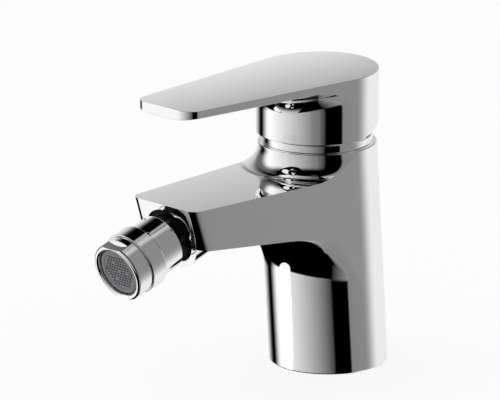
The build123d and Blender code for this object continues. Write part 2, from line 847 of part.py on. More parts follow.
def aerator_housing():
    """The screwed front ring with its lip, chamfered mouth and two spanner flats."""
    shoulder = barrel_end + aerator_gap
    mouth_start = aerator_end - aerator_mouth_length
    ring = turned(
        [
            (aerator_neck_radius, barrel_socket_floor + free_gap),
            (aerator_neck_radius, shoulder),
            (aerator_radius, shoulder),
            (aerator_radius, aerator_end - aerator_lip_chamfer),
            (aerator_radius - aerator_lip_chamfer, aerator_end),
            (aerator_mouth_radius + aerator_lip_chamfer, aerator_end),
            (aerator_mouth_radius, aerator_end - aerator_lip_chamfer),
            (aerator_mouth_radius, mouth_start),
            (aerator_bore_radius, mouth_start),
            (aerator_bore_radius, barrel_socket_floor + free_gap),
        ],
        nozzle_axis,
    )
    flat = Pos(0, aerator_flat_offset, aerator_end - aerator_flat_length) * Box(
        2 * aerator_radius, aerator_radius, aerator_flat_length + overrun,
        align=(Align.CENTER, Align.MIN, Align.MIN),
    )
    for turn in (0, 180):
        ring = ring - nozzle_axis * Rot(0, 0, turn) * flat
    return ring


def aerator_insert():
    """The plastic cup that carries the screen and the flow plate inside the housing."""
    mouth_start = aerator_end - aerator_mouth_length
    front = aerator_end - insert_recess
    screen_back = front - screen_recess - screen_thickness
    plate_seat = insert_start + flow_plate_thickness
    return turned(
        [
            (insert_flange_radius, insert_start),
            (insert_flange_radius, mouth_start),
            (insert_radius, mouth_start),
            (insert_radius, front),
            (screen_radius + running_gap, front),
            (screen_radius + running_gap, screen_back),
            (screen_radius - screen_ledge, screen_back),
            (screen_radius - screen_ledge, plate_seat),
            (insert_flange_radius - insert_wall, plate_seat),
            (insert_flange_radius - insert_wall, insert_start),
        ],
        nozzle_axis,
    )


def aerator_screen():
    """The honeycomb screen in the insert's mouth."""
    front = aerator_end - insert_recess - screen_recess
    screen = upright_cylinder(screen_radius, front - screen_thickness, front, nozzle_axis)
    hole = RegularPolygon(screen_hole_radius, 6)
    spots = []
    for ring in range(screen_ring_count + 1):
        for corner in range(6 if ring else 1):
            for step in range(max(ring, 1)):
                spots.append(honeycomb_spot(ring, corner, step))
    cutter = extrude(Sketch() + [Pos(*spot) * hole for spot in spots], screen_thickness + 2 * overrun)
    return screen - nozzle_axis * Pos(0, 0, front - screen_thickness - overrun) * cutter


def honeycomb_spot(ring, corner, step):
    """One place of a honeycomb: so many steps along one side of one of its rings."""
    start, along = radians(60 * corner), radians(60 * corner + 120)
    x = ring * cos(start) + step * cos(along)
    y = ring * sin(start) + step * sin(along)
    return (screen_hole_spacing * x, screen_hole_spacing * y)


def flow_plate():
    """The plate behind the screen, with a circle of jet holes."""
    radius = insert_flange_radius - insert_wall - running_gap
    plate = upright_cylinder(radius, insert_start, insert_start + flow_plate_thickness, nozzle_axis)
    jet = Pos(flow_plate_circle_share * screen_radius, 0, insert_start - overrun) * Cylinder(
        flow_plate_hole_radius, flow_plate_thickness + 2 * overrun, align=upright
    )
    for place in range(flow_plate_hole_count):
        plate = plate - nozzle_axis * Rot(0, 0, place * 360 / flow_plate_hole_count) * jet
    return plate


def aerator_washer():
    """The flat washer between the barrel's lip and the insert."""
    return upright_ring(
        insert_flange_radius, washer_hole_radius, barrel_socket_floor, insert_start, nozzle_axis
    )


def all_pieces():
    """Every piece by its name, in its place at rest."""
    return {
        "tap_body": tap_body(),
        "base_gasket": base_gasket(),
        "cartridge_base": cartridge_base(),
        "inlet_seal_hot": inlet_seal(-1),
        "inlet_seal_cold": inlet_seal(1),
        "fixed_disc": fixed_disc(),
        "moving_disc": moving_disc(),
        "disc_carrier": disc_carrier(),
        "cartridge_housing": cartridge_housing(),
        "housing_seal": housing_seal(),
        "cartridge_nut": cartridge_nut(),
        "cover_ring": cover_ring(),
        "stem_carrier": stem_carrier(),
        "pivot_pin": pivot_pin(),
        "stem": stem(),
        "lever_handle": lever_handle(),
        "grub_screw": grub_screw(),
        "index_plug": index_plug(),
        "ball_nipple": ball_nipple(),
        "pocket_seal": pocket_seal(),
        "ball_slip_ring": ball_slip_ring(),
        "ball_seat": ball_seat(),
        "nozzle_collar": nozzle_collar(),
        "nozzle_barrel": nozzle_barrel(),
        "aerator_housing": aerator_housing(),
        "aerator_insert": aerator_insert(),
        "aerator_screen": aerator_screen(),
        "flow_plate": flow_plate(),
        "aerator_washer": aerator_washer(),
    }


for piece_name, piece in all_pieces().items():
    export_step(piece, f"parts/{piece_name}.step")
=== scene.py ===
import logging
from dataclasses import dataclass, field
from enum import Enum
from math import asin, atan2, cos, pi, radians, sin, sqrt, tan
from typing import Callable, Sequence

import bmesh
import bpy
from mathutils import Matrix, Vector


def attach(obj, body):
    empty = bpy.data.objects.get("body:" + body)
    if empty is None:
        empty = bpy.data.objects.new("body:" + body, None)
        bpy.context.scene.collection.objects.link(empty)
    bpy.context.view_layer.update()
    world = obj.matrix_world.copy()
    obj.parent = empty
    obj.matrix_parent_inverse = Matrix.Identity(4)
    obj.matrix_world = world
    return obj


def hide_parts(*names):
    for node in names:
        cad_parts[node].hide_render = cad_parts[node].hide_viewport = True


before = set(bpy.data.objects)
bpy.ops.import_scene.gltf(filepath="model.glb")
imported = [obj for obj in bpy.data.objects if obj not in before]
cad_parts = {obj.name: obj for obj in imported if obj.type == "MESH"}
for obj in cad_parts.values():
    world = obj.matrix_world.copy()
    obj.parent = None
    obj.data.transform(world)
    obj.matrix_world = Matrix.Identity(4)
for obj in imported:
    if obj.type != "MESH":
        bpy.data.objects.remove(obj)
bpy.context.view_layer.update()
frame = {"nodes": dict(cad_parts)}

MM = 0.001
log = logging.getLogger("bidet_mixer")

Point = tuple[float, float]
Run = list[Vector]
Shape = bmesh.types.BMesh
Tree = bpy.types.NodeTree
Socket = bpy.types.NodeSocket
Material = bpy.types.Material
Value = Socket | float | tuple[float, ...]

ACROSS = Vector((1, 0, 0))
UP = Vector((0, 0, 1))
HARD_EDGE_DEG = 35


class Body(Enum):
    """The bodies that carry new pieces, by the names of their empties."""

    BODY = "body"
    LEVER = "lever"
    NOZZLE = "nozzle"


class Cut(Enum):
    """How one mesh changes another."""

    JOIN = "UNION"
    TAKE_AWAY = "DIFFERENCE"


# Mesh helpers: lengths in millimetres until a piece is finished


def frame_matrix(origin: Vector, axis: Vector) -> Matrix:
    """Gives the placement whose Z is the axis and whose X stays across the mixer.

    Args:
        origin: Where the local origin lies.
        axis: The direction of local Z.

    Returns:
        The placement as a 4x4 matrix.
    """
    z = axis.normalized()
    y = z.cross(ACROSS).normalized()
    return Matrix.Translation(origin) @ Matrix((ACROSS, y, z)).transposed().to_4x4()


def rounded(points: Sequence[Point], radii: Sequence[float], steps: int = 4) -> list[Point]:
    """Rounds the corners of a profile with small arcs.

    Args:
        points: The corners as (radius, height).
        radii: One rounding radius for each corner, 0 for a sharp one.
        steps: The number of straight steps in each arc.

    Returns:
        The profile with each rounded corner replaced by its arc.
    """
    result: list[Point] = []
    count = len(points)
    for place, (corner, radius) in enumerate(zip(points, radii)):
        if radius <= 0:
            result.append(corner)
            continue
        here = Vector(corner)
        back = (Vector(points[place - 1]) - here).normalized()
        ahead = (Vector(points[(place + 1) % count]) - here).normalized()
        half = back.angle(ahead) / 2
        reach = radius / tan(half)
        centre = here + (back + ahead).normalized() * (radius / sin(half))
        start, end = (here + back * reach - centre).normalized(), (here + ahead * reach - centre).normalized()
        for step in range(steps + 1):
            result.append(tuple(centre + start.slerp(end, step / steps) * radius))
    return result


def turned(profile: Sequence[Point], placement: Matrix, steps: int = 128) -> Shape:
    """Spins a closed profile about the local Z axis.

    Args:
        profile: The profile's corners as (radius, height).
        placement: Where the local frame lies.
        steps: The number of steps round.

    Returns:
        A closed mesh, in millimetres.
    """
    mesh = bmesh.new()
    verts = [mesh.verts.new((radius, 0.0, height)) for radius, height in profile]
    edges = [mesh.edges.new((verts[place - 1], verts[place])) for place in range(len(verts))]
    bmesh.ops.spin(
        mesh, geom=verts + edges, cent=(0, 0, 0), axis=(0, 0, 1), angle=2 * pi, steps=steps, use_merge=True
    )
    bmesh.ops.remove_doubles(mesh, verts=mesh.verts[:], dist=1e-4)
    bmesh.ops.dissolve_degenerate(mesh, edges=mesh.edges[:], dist=1e-5)
    bmesh.ops.recalc_face_normals(mesh, faces=mesh.faces[:])
    bmesh.ops.transform(mesh, matrix=placement, verts=mesh.verts[:])
    return mesh


def rod(radius: float, bottom: float, top: float, placement: Matrix, steps: int = 96) -> Shape:
    """A plain round bar between two heights of a local frame.

    Args:
        radius: The bar's radius.
        bottom: Its lower end.
        top: Its upper end.
        placement: Where the local frame lies.
        steps: The number of sides.

    Returns:
        A closed mesh, in millimetres.
    """
    mesh = bmesh.new()
    middle = Matrix.Translation((0, 0, (bottom + top) / 2))
    bmesh.ops.create_cone(
        mesh, cap_ends=True, segments=steps, radius1=radius, radius2=radius, depth=top - bottom,
        matrix=placement @ middle,
    )
    return mesh


def block(low: Sequence[float], high: Sequence[float], placement: Matrix) -> Shape:
    """A box between two corners of a local frame.

    Args:
        low: The lowest corner.
        high: The highest corner.
        placement: Where the local frame lies.

    Returns:
        A closed mesh, in millimetres.
    """
    mesh = bmesh.new()
    size = Vector(high) - Vector(low)
    middle = (Vector(high) + Vector(low)) / 2
    bmesh.ops.create_cube(mesh, size=1.0, matrix=placement @ Matrix.Translation(middle) @ Matrix.Diagonal((*size, 1)))
    return mesh


def linked(name: str, data: bpy.types.ID) -> bpy.types.Object:
    """Adds a new object to the scene.

    Args:
        name: The object's name.
        data: Its mesh, camera or light.

    Returns:
        The object.
    """
    obj = bpy.data.objects.new(name, data)
    bpy.context.scene.collection.objects.link(obj)
    return obj


def as_mesh(shape: Shape, name: str) -> bpy.types.Mesh:
    """Writes a shape to a new mesh and frees it.

    Args:
        shape: The shape.
        name: The new mesh's name.

    Returns:
        The mesh.
    """
    mesh = bpy.data.meshes.new(name)
    shape.to_mesh(mesh)
    shape.free()
    return mesh


def baked(obj: bpy.types.Object) -> bpy.types.Mesh:
    """Gives an object's mesh with its modifiers applied.

    Args:
        obj: The object.

    Returns:
        A new mesh.
    """
    graph = bpy.context.evaluated_depsgraph_get()
    graph.update()
    return bpy.data.meshes.new_from_object(obj.evaluated_get(graph), preserve_all_data_layers=True, depsgraph=graph)


def combined(base: Shape, cut: Cut, *tools: Shape) -> Shape:
    """Joins shapes to a base or takes them away from it, one after another.

    Args:
        base: The shape to start from, which is used up.
        cut: What is done with the other shapes.
        tools: The other shapes, which are used up too.

    Returns:
        The result.
    """
    target = linked("combining", as_mesh(base, "combining"))
    for shape in tools:
        tool = linked("tool", as_mesh(shape, "tool"))
        modifier = target.modifiers.new("combine", "BOOLEAN")
        modifier.operation = cut.value
        modifier.solver = "EXACT"
        modifier.object = tool
        result = baked(target)
        target.modifiers.remove(modifier)
        old = target.data
        target.data = result
        bpy.data.meshes.remove(old)
        tool_mesh = tool.data
        bpy.data.objects.remove(tool)
        bpy.data.meshes.remove(tool_mesh)
    result = bmesh.new()
    result.from_mesh(target.data)
    mesh = target.data
    bpy.data.objects.remove(target)
    bpy.data.meshes.remove(mesh)
    return result


@dataclass
class Finisher:
    """Turns a shape in millimetres into a finished piece of the scene."""

    sharp_deg: float = 32.0
    weld: float = 2e-4
    flat_weight: int = 60

    def piece(
        self, shape: Shape, name: str, body: Body, material: Material, slot: str, *nodes: str
    ) -> None:
        """Finishes one piece.

        Args:
            shape: The shape, in millimetres, which is used up.
            name: The piece's name.
            body: The body that it rides on.
            material: Its material.
            slot: The record's material slot that it stands for; not used.
            nodes: The solids that it replaces.
        """
        bmesh.ops.remove_doubles(shape, verts=shape.verts[:], dist=self.weld)
        bmesh.ops.dissolve_degenerate(shape, edges=shape.edges[:], dist=self.weld / 2)
        for face in shape.faces:
            face.smooth = True
        for edge in shape.edges:
            edge.smooth = len(edge.link_faces) == 2 and edge.calc_face_angle(0.0) < radians(self.sharp_deg)
        bmesh.ops.scale(shape, vec=(MM, MM, MM), verts=shape.verts[:])
        obj = linked(name, as_mesh(shape, name))
        modifier = obj.modifiers.new("even_normals", "WEIGHTED_NORMAL")
        modifier.keep_sharp = True
        modifier.weight = self.flat_weight
        mesh = baked(obj)
        obj.modifiers.remove(modifier)
        obj.data = mesh
        mesh.name = name
        mesh.materials.clear()
        mesh.materials.append(material)
        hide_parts(*nodes)
        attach(obj, body.value)
        log.info("%s: %d faces, rides on %s", name, len(mesh.polygons), body.value)


# Finishes


def fill(tree: Tree, node: bpy.types.Node, inputs: dict[str | int, Value]) -> bpy.types.Node:
    """Links sockets to a node's inputs and sets constants on them.

    Args:
        tree: The node's tree.
        node: The node.
        inputs: A socket or a constant for each input, by name or place.

    Returns:
        The node.
    """
    for key, value in inputs.items():
        if isinstance(value, Socket):
            tree.links.new(value, node.inputs[key])
        else:
            node.inputs[key].default_value = value
    return node


def added(tree: Tree, kind: str, inputs: dict[str | int, Value] | None = None) -> bpy.types.Node:
    """Adds a shader node of a kind to a tree and fills its inputs."""
    return fill(tree, tree.nodes.new("ShaderNode" + kind), inputs or {})


def maths(tree: Tree, operation: str, *values: Value) -> Socket:
    """Adds a Math node.

    Args:
        tree: The tree that gets it.
        operation: Its operation.
        values: A socket or a number for each of its inputs.

    Returns:
        The node's output.
    """
    node = added(tree, "Math")
    node.operation = operation
    return fill(tree, node, dict(enumerate(values))).outputs[0]


def ramp(tree: Tree, value: Socket, source: Point, target: Point, kind: str) -> Socket:
    """Adds a Map Range node.

    Args:
        tree: The tree that gets it.
        value: The socket to map.
        source: The range that it comes from.
        target: The range that it goes to.
        kind: The interpolation.

    Returns:
        The node's output.
    """
    node = added(tree, "MapRange", {"Value": value})
    node.interpolation_type = kind
    ends = dict(zip(("From Min", "From Max", "To Min", "To Max"), (*source, *target)))
    return fill(tree, node, ends).outputs["Result"]


def polish_group() -> Tree:
    """Builds the shared effect of handled metal and plastic: smears, fine scratches and a faint unevenness.

    Returns:
        A group that puts out a roughness, a height and a mask of smears.
    """
    group = bpy.data.node_groups.new("polish", "ShaderNodeTree")
    for key, value in (("Roughness", 0.03), ("Smear", 0.02), ("Scratch", 0.01), ("Scale", 40.0)):
        group.interface.new_socket(key, in_out="INPUT", socket_type="NodeSocketFloat").default_value = value
    for key in ("Roughness", "Height", "Smears"):
        group.interface.new_socket(key, in_out="OUTPUT", socket_type="NodeSocketFloat")
    given = group.nodes.new("NodeGroupInput").outputs
    place = added(group, "TexCoord").outputs["Object"]
    smear = added(group, "TexNoise", {"Vector": place, "Scale": given["Scale"], "Detail": 4.0, "Roughness": 0.6})
    patches = maths(group, "SMOOTH_MAX", maths(group, "SUBTRACT", smear.outputs["Fac"], 0.52), 0.0, 0.05)
    stretch = added(group, "Mapping", {"Vector": place, "Scale": (1.0, 1.0, 14.0), "Rotation": (0.5, 0.3, 0.9)})
    fine = maths(group, "MULTIPLY", given["Scale"], 9.0)
    scratch = added(group, "TexNoise", {"Vector": stretch.outputs["Vector"], "Scale": fine, "Detail": 6.0})
    lines = maths(group, "POWER", scratch.outputs["Fac"], 5.0)
    rough = maths(group, "MULTIPLY_ADD", patches, given["Smear"], given["Roughness"])
    results = {
        "Roughness": maths(group, "MULTIPLY_ADD", lines, given["Scratch"], rough),
        "Height": maths(group, "MULTIPLY_ADD", lines, 0.3, smear.outputs["Fac"]),
        "Smears": patches,
    }
    fill(group, group.nodes.new("NodeGroupOutput"), results)
    return group


@dataclass(frozen=True)
class Finish:
    """One surface finish: its colours, gloss and how much handling shows on it."""

    name: str
    colour: tuple[float, float, float]
    second: tuple[float, float, float]
    metallic: float
    roughness: float
    smear: float = 0.05
    scratch: float = 0.05
    scale: float = 40.0
    bump: float = 0.02
    depth: float = 0.00002
    specular: float = 0.5

    def material(self, polish: Tree) -> Material:
        """Builds the finish's material.

        Args:
            polish: The shared group of smears and scratches.

        Returns:
            The material.
        """
        material = bpy.data.materials.new(self.name)
        material.use_nodes = True
        tree = material.node_tree
        group = tree.nodes.new("ShaderNodeGroup")
        group.node_tree = polish
        handling = {"Roughness": self.roughness, "Smear": self.smear, "Scratch": self.scratch, "Scale": self.scale}
        worn = fill(tree, group, handling).outputs
        tint = tree.nodes.new("ShaderNodeMix")
        tint.data_type = "RGBA"
        share = maths(tree, "MULTIPLY", worn["Smears"], 3.0)
        fill(tree, tint, {"Factor": share, "A": (*self.colour, 1.0), "B": (*self.second, 1.0)})
        bump = added(tree, "Bump", {"Strength": self.bump, "Distance": self.depth, "Height": worn["Height"]})
        surface = {
            "Metallic": self.metallic, "Specular IOR Level": self.specular, "Base Color": tint.outputs["Result"],
            "Roughness": worn["Roughness"], "Normal": bump.outputs["Normal"],
        }
        fill(tree, tree.nodes["Principled BSDF"], surface)
        return material


@dataclass(frozen=True)
class Palette:
    """The mixer's finishes."""

    chrome: Finish = Finish("polished_chrome", (0.93, 0.93, 0.93), (0.88, 0.88, 0.88), 1.0, 0.015, 0.12, 0.03)
    satin_steel: Finish = Finish("ground_steel", (0.62, 0.62, 0.63), (0.5, 0.5, 0.51), 1.0, 0.28, 0.2, 0.3, 60.0, 0.2)
    brass: Finish = Finish("turned_brass", (0.78, 0.58, 0.27), (0.66, 0.47, 0.2), 1.0, 0.22, 0.2, 0.3, 60.0, 0.2)
    ceramic: Finish = Finish("lapped_ceramic", (0.86, 0.84, 0.8), (0.8, 0.78, 0.73), 0.0, 0.12, 0.2, 0.1, 70.0)
    grey_plastic: Finish = Finish(
        "grey_acetal", (0.16, 0.17, 0.18), (0.12, 0.125, 0.13), 0.0, 0.42, 0.3, 0.2, 90.0, 0.25
    )
    white_plastic: Finish = Finish(
        "white_acetal", (0.78, 0.77, 0.74), (0.7, 0.69, 0.66), 0.0, 0.4, 0.3, 0.2, 90.0, 0.25
    )
    aerator_plastic: Finish = Finish(
        "aerator_plastic", (0.2, 0.2, 0.21), (0.13, 0.13, 0.14), 0.0, 0.36, 0.3, 0.2, 120.0, 0.25
    )
    index_plastic: Finish = Finish("index_plastic", (0.42, 0.43, 0.45), (0.36, 0.37, 0.39), 0.0, 0.2, 0.2, 0.1, 90.0)
    rubber: Finish = Finish("black_rubber", (0.014, 0.014, 0.015), (0.03, 0.03, 0.03), 0.0, 0.38, 0.4, 0.2, 90.0, 0.3)
    gloss_seal: Finish = Finish(
        "gloss_seal", (0.003, 0.003, 0.003), (0.005, 0.005, 0.005), 0.0, 0.2, 0.05, 0.02, 90.0, 0.0, specular=0.04
    )


# The arms' outlines


@dataclass(frozen=True)
class Flat:
    """A flat surface of an arm; its normal points away from the arm."""

    point: Vector
    normal: Vector

    def rolling_centre(self, start: Vector, axis: Vector, blend: float) -> Vector:
        """Where a ball that touches the surface from outside has its centre on a line."""
        gap = blend - (start - self.point).dot(self.normal)
        return start + axis * (gap / axis.dot(self.normal))

    def towards(self, centre: Vector) -> Vector:
        """The direction from a ball's centre to where it touches the surface."""
        return -self.normal

    def slide(self, point: Vector, along: Vector) -> Vector:
        """Slides a point along a direction onto the surface."""
        return point + along * ((self.point - point).dot(self.normal) / along.dot(self.normal))


@dataclass(frozen=True)
class Barrel:
    """A round underside: the arm lies inside the barrel, above its lowest line."""

    point: Vector
    axis: Vector
    radius: float

    def crossing(self, start: Vector, along: Vector, radius: float) -> Vector:
        """Finds the lower point of a line that lies at a distance from the barrel's axis.

        Args:
            start: A point of the line.
            along: The line's direction.
            radius: The distance.

        Returns:
            The point.
        """
        across = along - self.axis * along.dot(self.axis)
        offset = start - self.point
        offset = offset - self.axis * offset.dot(self.axis)
        a, b, c = across.dot(across), 2 * across.dot(offset), offset.dot(offset) - radius * radius
        root = sqrt(max(0.0, b * b - 4 * a * c))
        ends = [start + along * ((-b - root) / (2 * a)), start + along * ((-b + root) / (2 * a))]
        return min(ends, key=lambda end: end.z)

    def rolling_centre(self, start: Vector, axis: Vector, blend: float) -> Vector:
        """Where a ball that touches the barrel from below has its centre on a line."""
        return self.crossing(start, axis, self.radius + blend)

    def towards(self, centre: Vector) -> Vector:
        """The direction from a ball's centre to where it touches the barrel."""
        offset = centre - self.point
        return -(offset - self.axis * offset.dot(self.axis)).normalized()

    def slide(self, point: Vector, along: Vector) -> Vector:
        """Slides a point along a direction onto the barrel."""
        return self.crossing(point, along, self.radius)


@dataclass(frozen=True)
class Counts:
    """How finely an arm and its post are divided."""

    blend: int = 40
    side: int = 20
    corner: int = 16
    tip: int = 12
    arc: int = 36
    rear: int = 110
    inner: int = 8
    crown: int = 12


@dataclass(frozen=True)
class Arm:
    """A prism that starts tangent to a round post and closes in towards a rounded tip.

    The post's axis, its radius and the taper fix the two sides; the tip is a plane, and a corner of
    constant radius joins each side to it.
    """

    origin: Vector
    axis: Vector
    radius: float
    taper_deg: float
    tip_point: Vector
    tip_normal: Vector
    corner_radius: float
    counts: Counts = Counts()

    @property
    def back(self) -> Vector:
        """The direction to the back, square to the post's axis."""
        return self.axis.cross(ACROSS).normalized()

    def radial(self, angle: float) -> Vector:
        """The direction away from the post's axis at an angle from +X towards the back."""
        return ACROSS * cos(angle) + self.back * sin(angle)

    def polar(self, point: Vector) -> float:
        """The angle of a point round the post's axis."""
        away = point - self.origin
        return atan2(away.dot(self.back), away.x)

    def wall(self, angle: float, height: float, inset: float = 0.0) -> Vector:
        """A point of the post's wall at an angle and a height above the deck."""
        foot = self.origin + self.radial(angle) * (self.radius - inset)
        return foot + self.axis * ((height - foot.z) / self.axis.z)

    @property
    def first_angle(self) -> float:
        """The angle at which the +X side leaves the post."""
        return -radians(self.taper_deg)

    @property
    def side_normal(self) -> Vector:
        """The outward normal of the +X side."""
        return self.radial(self.first_angle)

    @property
    def rear_angles(self) -> list[float]:
        """The angles of the columns behind the two sides, from -X round to +X."""
        sweep, rear = pi - 2 * self.first_angle, self.counts.rear
        return [pi - self.first_angle - sweep * step / rear for step in range(1, rear)]

    def beyond_side(self, point: Vector) -> float:
        """How far a point lies outside the +X side."""
        return (point - self.origin).dot(self.side_normal) - self.radius

    def blend_arc(self, angle: float, surface: Flat | Barrel, blend: float) -> Run:
        """The rolling arc between the post and a surface, at an angle round the post.

        Args:
            angle: The angle round the post.
            surface: The arm's upper or lower surface.
            blend: The blend's radius.

        Returns:
            Points from the post to the surface.
        """
        away = self.radial(angle)
        centre = surface.rolling_centre(self.origin + away * (self.radius + blend), self.axis, blend)
        start, end = -away, surface.towards(centre)
        steps = self.counts.arc
        return [centre + start.slerp(end, step / steps) * blend for step in range(steps + 1)]

    def clipped(self, arc: Run) -> Run:
        """Ends an arc where it passes through the arm's side.

        Args:
            arc: The arc.

        Returns:
            As many points, spread over the part that lies inside.
        """
        for place, (before, after) in enumerate(zip(arc, arc[1:])):
            inner, outer = self.beyond_side(before), self.beyond_side(after)
            if outer > 0:
                share = max(0.0, min(1.0, -inner / (outer - inner))) if outer > inner else 0.0
                return respaced(arc[: place + 1] + [before.lerp(after, share)], len(arc))
        return arc

    def eased(self, arc: Run, rise: float) -> Run:
        """Rounds the corner where a blend's arc ends on the arm's side.

        Args:
            arc: The arc, which ends on the side.
            rise: How far up the side the rounding reaches.

        Returns:
            The shortened arc and the points of its rounding.
        """
        inner, corner = self.counts.inner, arc[-1]
        length = sum((after - before).length for before, after in zip(arc, arc[1:]))
        if rise < 1e-3 or length < 1e-3:
            return arc + [corner.copy() for _ in range(inner)]
        # The cut stays below one and a half rises, and below four fifths of the arc
        cut_off = 1.0 / (1.0 / (1.5 * rise) + 1.0 / (0.8 * length))
        kept = shortened(arc, length - cut_off)
        start, end = kept[-1], corner + self.axis * rise
        bend = []
        for step in range(1, inner + 1):
            along = step / inner
            bend.append(start * (1 - along) ** 2 + corner * (2 * along * (1 - along)) + end * along**2)
        return respaced(kept, len(arc)) + bend

    def corner_line(self) -> tuple[Vector, Vector]:
        """The centre line of the +X corner.

        Returns:
            A point of the line and its direction.
        """
        side, tip = self.side_normal, self.tip_normal
        along = side.cross(tip).normalized()
        side_offset = side.dot(self.origin) + self.radius - self.corner_radius
        offsets = Vector((side_offset, tip.dot(self.tip_point) - self.corner_radius, along.dot(self.tip_point)))
        return Matrix((side, tip, along)).inverted() @ offsets, along

    def outline(self, surface: Flat | Barrel, start: Vector) -> Run:
        """Samples the +X half of the outline on one surface, from the side to the tip's middle.

        Args:
            surface: The arm's upper or lower surface.
            start: Where the samples on the side begin.

        Returns:
            The samples after the start.
        """
        centre, along = self.corner_line()
        spokes = []
        for step in range(self.counts.corner + 1):
            spoke = self.side_normal.slerp(self.tip_normal, step / self.counts.corner) * self.corner_radius
            spokes.append(surface.slide(centre + spoke, along))
        last = Vector((0.0, spokes[-1].y, spokes[-1].z))
        middle = surface.slide(last, ACROSS.cross(self.tip_normal).normalized())
        sides, tips = self.counts.side, self.counts.tip
        along_side = [surface.slide(start.lerp(spokes[0], step / sides), along) for step in range(1, sides)]
        along_tip = [surface.slide(spokes[-1].lerp(middle, step / tips), along) for step in range(1, tips + 1)]
        return along_side + spokes + along_tip

    def half_columns(self, surface: Flat | Barrel, blend: float, ease: float = 0.0) -> list[Run]:
        """Columns of points from the post's wall, over one blend, out to the +X half of the outline.

        Args:
            surface: The arm's upper or lower surface.
            blend: The blend's radius.
            ease: How far the edge between blend and side is rounded, half way along the blend.

        Returns:
            One list of points for each sample of the outline.
        """
        near, far = self.first_angle, -pi / 2
        for _ in range(40):
            middle = (near + far) / 2
            if self.beyond_side(self.blend_arc(middle, surface, blend)[-1]) > 0:
                near = middle
            else:
                far = middle
        columns, inner, steps = [], self.counts.inner, self.counts.blend
        for step in range(steps + 1):
            angle = self.first_angle + (far - self.first_angle) * step / steps
            arc = self.clipped(self.blend_arc(angle, surface, blend))
            columns.append(self.eased(arc, ease * sin(pi * step / steps) ** 2))
        for point in self.outline(surface, columns[-1][-1]):
            arc = self.blend_arc(self.polar(point), surface, blend)
            columns.append(arc + [arc[-1].lerp(point, step / inner) for step in range(1, inner + 1)])
        return columns


def respaced(points: Run, count: int) -> Run:
    """Spreads a number of points evenly along a run.

    Args:
        points: The run's points.
        count: How many points the result has.

    Returns:
        The new points.
    """
    lengths = [0.0]
    for before, after in zip(points, points[1:]):
        lengths.append(lengths[-1] + (after - before).length)
    if lengths[-1] < 1e-6:
        return [points[0].copy() for _ in range(count)]
    result = []
    place = 0
    for step in range(count):
        target = lengths[-1] * step / (count - 1)
        while place < len(points) - 2 and lengths[place + 1] < target:
            place += 1
        span = lengths[place + 1] - lengths[place]
        share = 0.0 if span == 0 else (target - lengths[place]) / span
        result.append(points[place].lerp(points[place + 1], min(1.0, share)))
    return result


def shortened(points: Run, length: float) -> Run:
    """Keeps the first part of a run.

    Args:
        points: The run's points.
        length: How long the kept part is.

    Returns:
        The kept part's points.
    """
    kept = [points[0]]
    for before, after in zip(points, points[1:]):
        step = (after - before).length
        if step >= length:
            return kept + [before.lerp(after, length / step)]
        kept.append(after)
        length -= step
    return kept


def mirrored(half: Sequence[Run]) -> list[Run]:
    """Adds the -X half of a run of columns to its +X half, whose last column lies in the middle.

    Args:
        half: The +X columns, each a list of points.

    Returns:
        The columns of both halves, in order.
    """
    other = [[Vector((-point.x, point.y, point.z)) for point in column] for column in reversed(half[:-1])]
    return [list(column) for column in half] + other


def close_skin(mesh: Shape, weld: float, thin: float) -> None:
    """Merges a skin's near corners, closes its openings and turns its faces outwards.

    Args:
        mesh: The skin, in millimetres.
        weld: How near two corners are when they become one.
        thin: How short an edge is when it goes.
    """
    bmesh.ops.remove_doubles(mesh, verts=mesh.verts[:], dist=weld)
    bmesh.ops.dissolve_degenerate(mesh, edges=mesh.edges[:], dist=thin)
    bmesh.ops.delete(mesh, geom=[edge for edge in mesh.edges if not edge.link_faces], context="EDGES")
    bmesh.ops.holes_fill(mesh, edges=[edge for edge in mesh.edges if edge.is_boundary], sides=0)
    bmesh.ops.recalc_face_normals(mesh, faces=mesh.faces[:])


def woven(columns: Sequence[Run]) -> Shape:
    """Weaves a closed skin through columns of points that run round a shape.

    A rolling blend that dies out on a leaning side has no operator of its own, so its skin is woven here.

    Args:
        columns: The columns, all of the same length, in order round the shape.

    Returns:
        The skin, with its open ends closed and its faces turned outwards.
    """
    mesh = bmesh.new()
    rows = [[mesh.verts.new(point) for point in column] for column in columns]
    for place, row in enumerate(rows):
        following = rows[(place + 1) % len(rows)]
        for step in range(len(row) - 1):
            mesh.faces.new((row[step], following[step], following[step + 1], row[step + 1]))
    close_skin(mesh, 1e-3, 1e-4)
    return mesh


def soften(mesh: Shape, radius: float, wanted: Callable[[Vector], bool], name: str) -> None:
    """Rounds the hard edges of a shape in one region.

    Args:
        mesh: The shape, in millimetres.
        radius: The rounding's radius.
        wanted: Tells whether an edge's middle lies in the region.
        name: The piece's name, for the log.
    """
    edges = []
    for edge in mesh.edges:
        middle = (edge.verts[0].co + edge.verts[1].co) / 2
        if len(edge.link_faces) == 2 and wanted(middle) and edge.calc_face_angle(0.0) > radians(HARD_EDGE_DEG):
            edges.append(edge)
    bmesh.ops.bevel(
        mesh, geom=edges, offset=radius, offset_type="OFFSET", segments=4, profile=0.5, affect="EDGES",
        material=-1, clamp_overlap=True,
    )
    log.info("%s: %d edges rounded", name, len(edges))


@dataclass
class Thread:
    """A threaded hole's flanks, as rings of the thread's pitch."""

    outer: float
    inner: float
    pitch: float
    depth: float

    def hole(self, placement: Matrix) -> Shape:
        """Builds the tool that cuts the hole.

        Args:
            placement: The hole's axis, with its mouth at height 0.

        Returns:
            A closed mesh, in millimetres.
        """
        profile = [(0.0, -1.0), (self.outer + 0.5, -1.0), (self.outer + 0.5, 0.0), (self.outer, 0.5)]
        height = 0.5
        while height + self.pitch < self.depth:
            profile.append((self.inner, height + self.pitch / 2))
            height += self.pitch
            profile.append((self.outer, height))
        profile += [(self.inner, height + self.pitch / 2), (self.inner, self.depth), (0.0, self.depth)]
        return turned(profile, placement, 48)


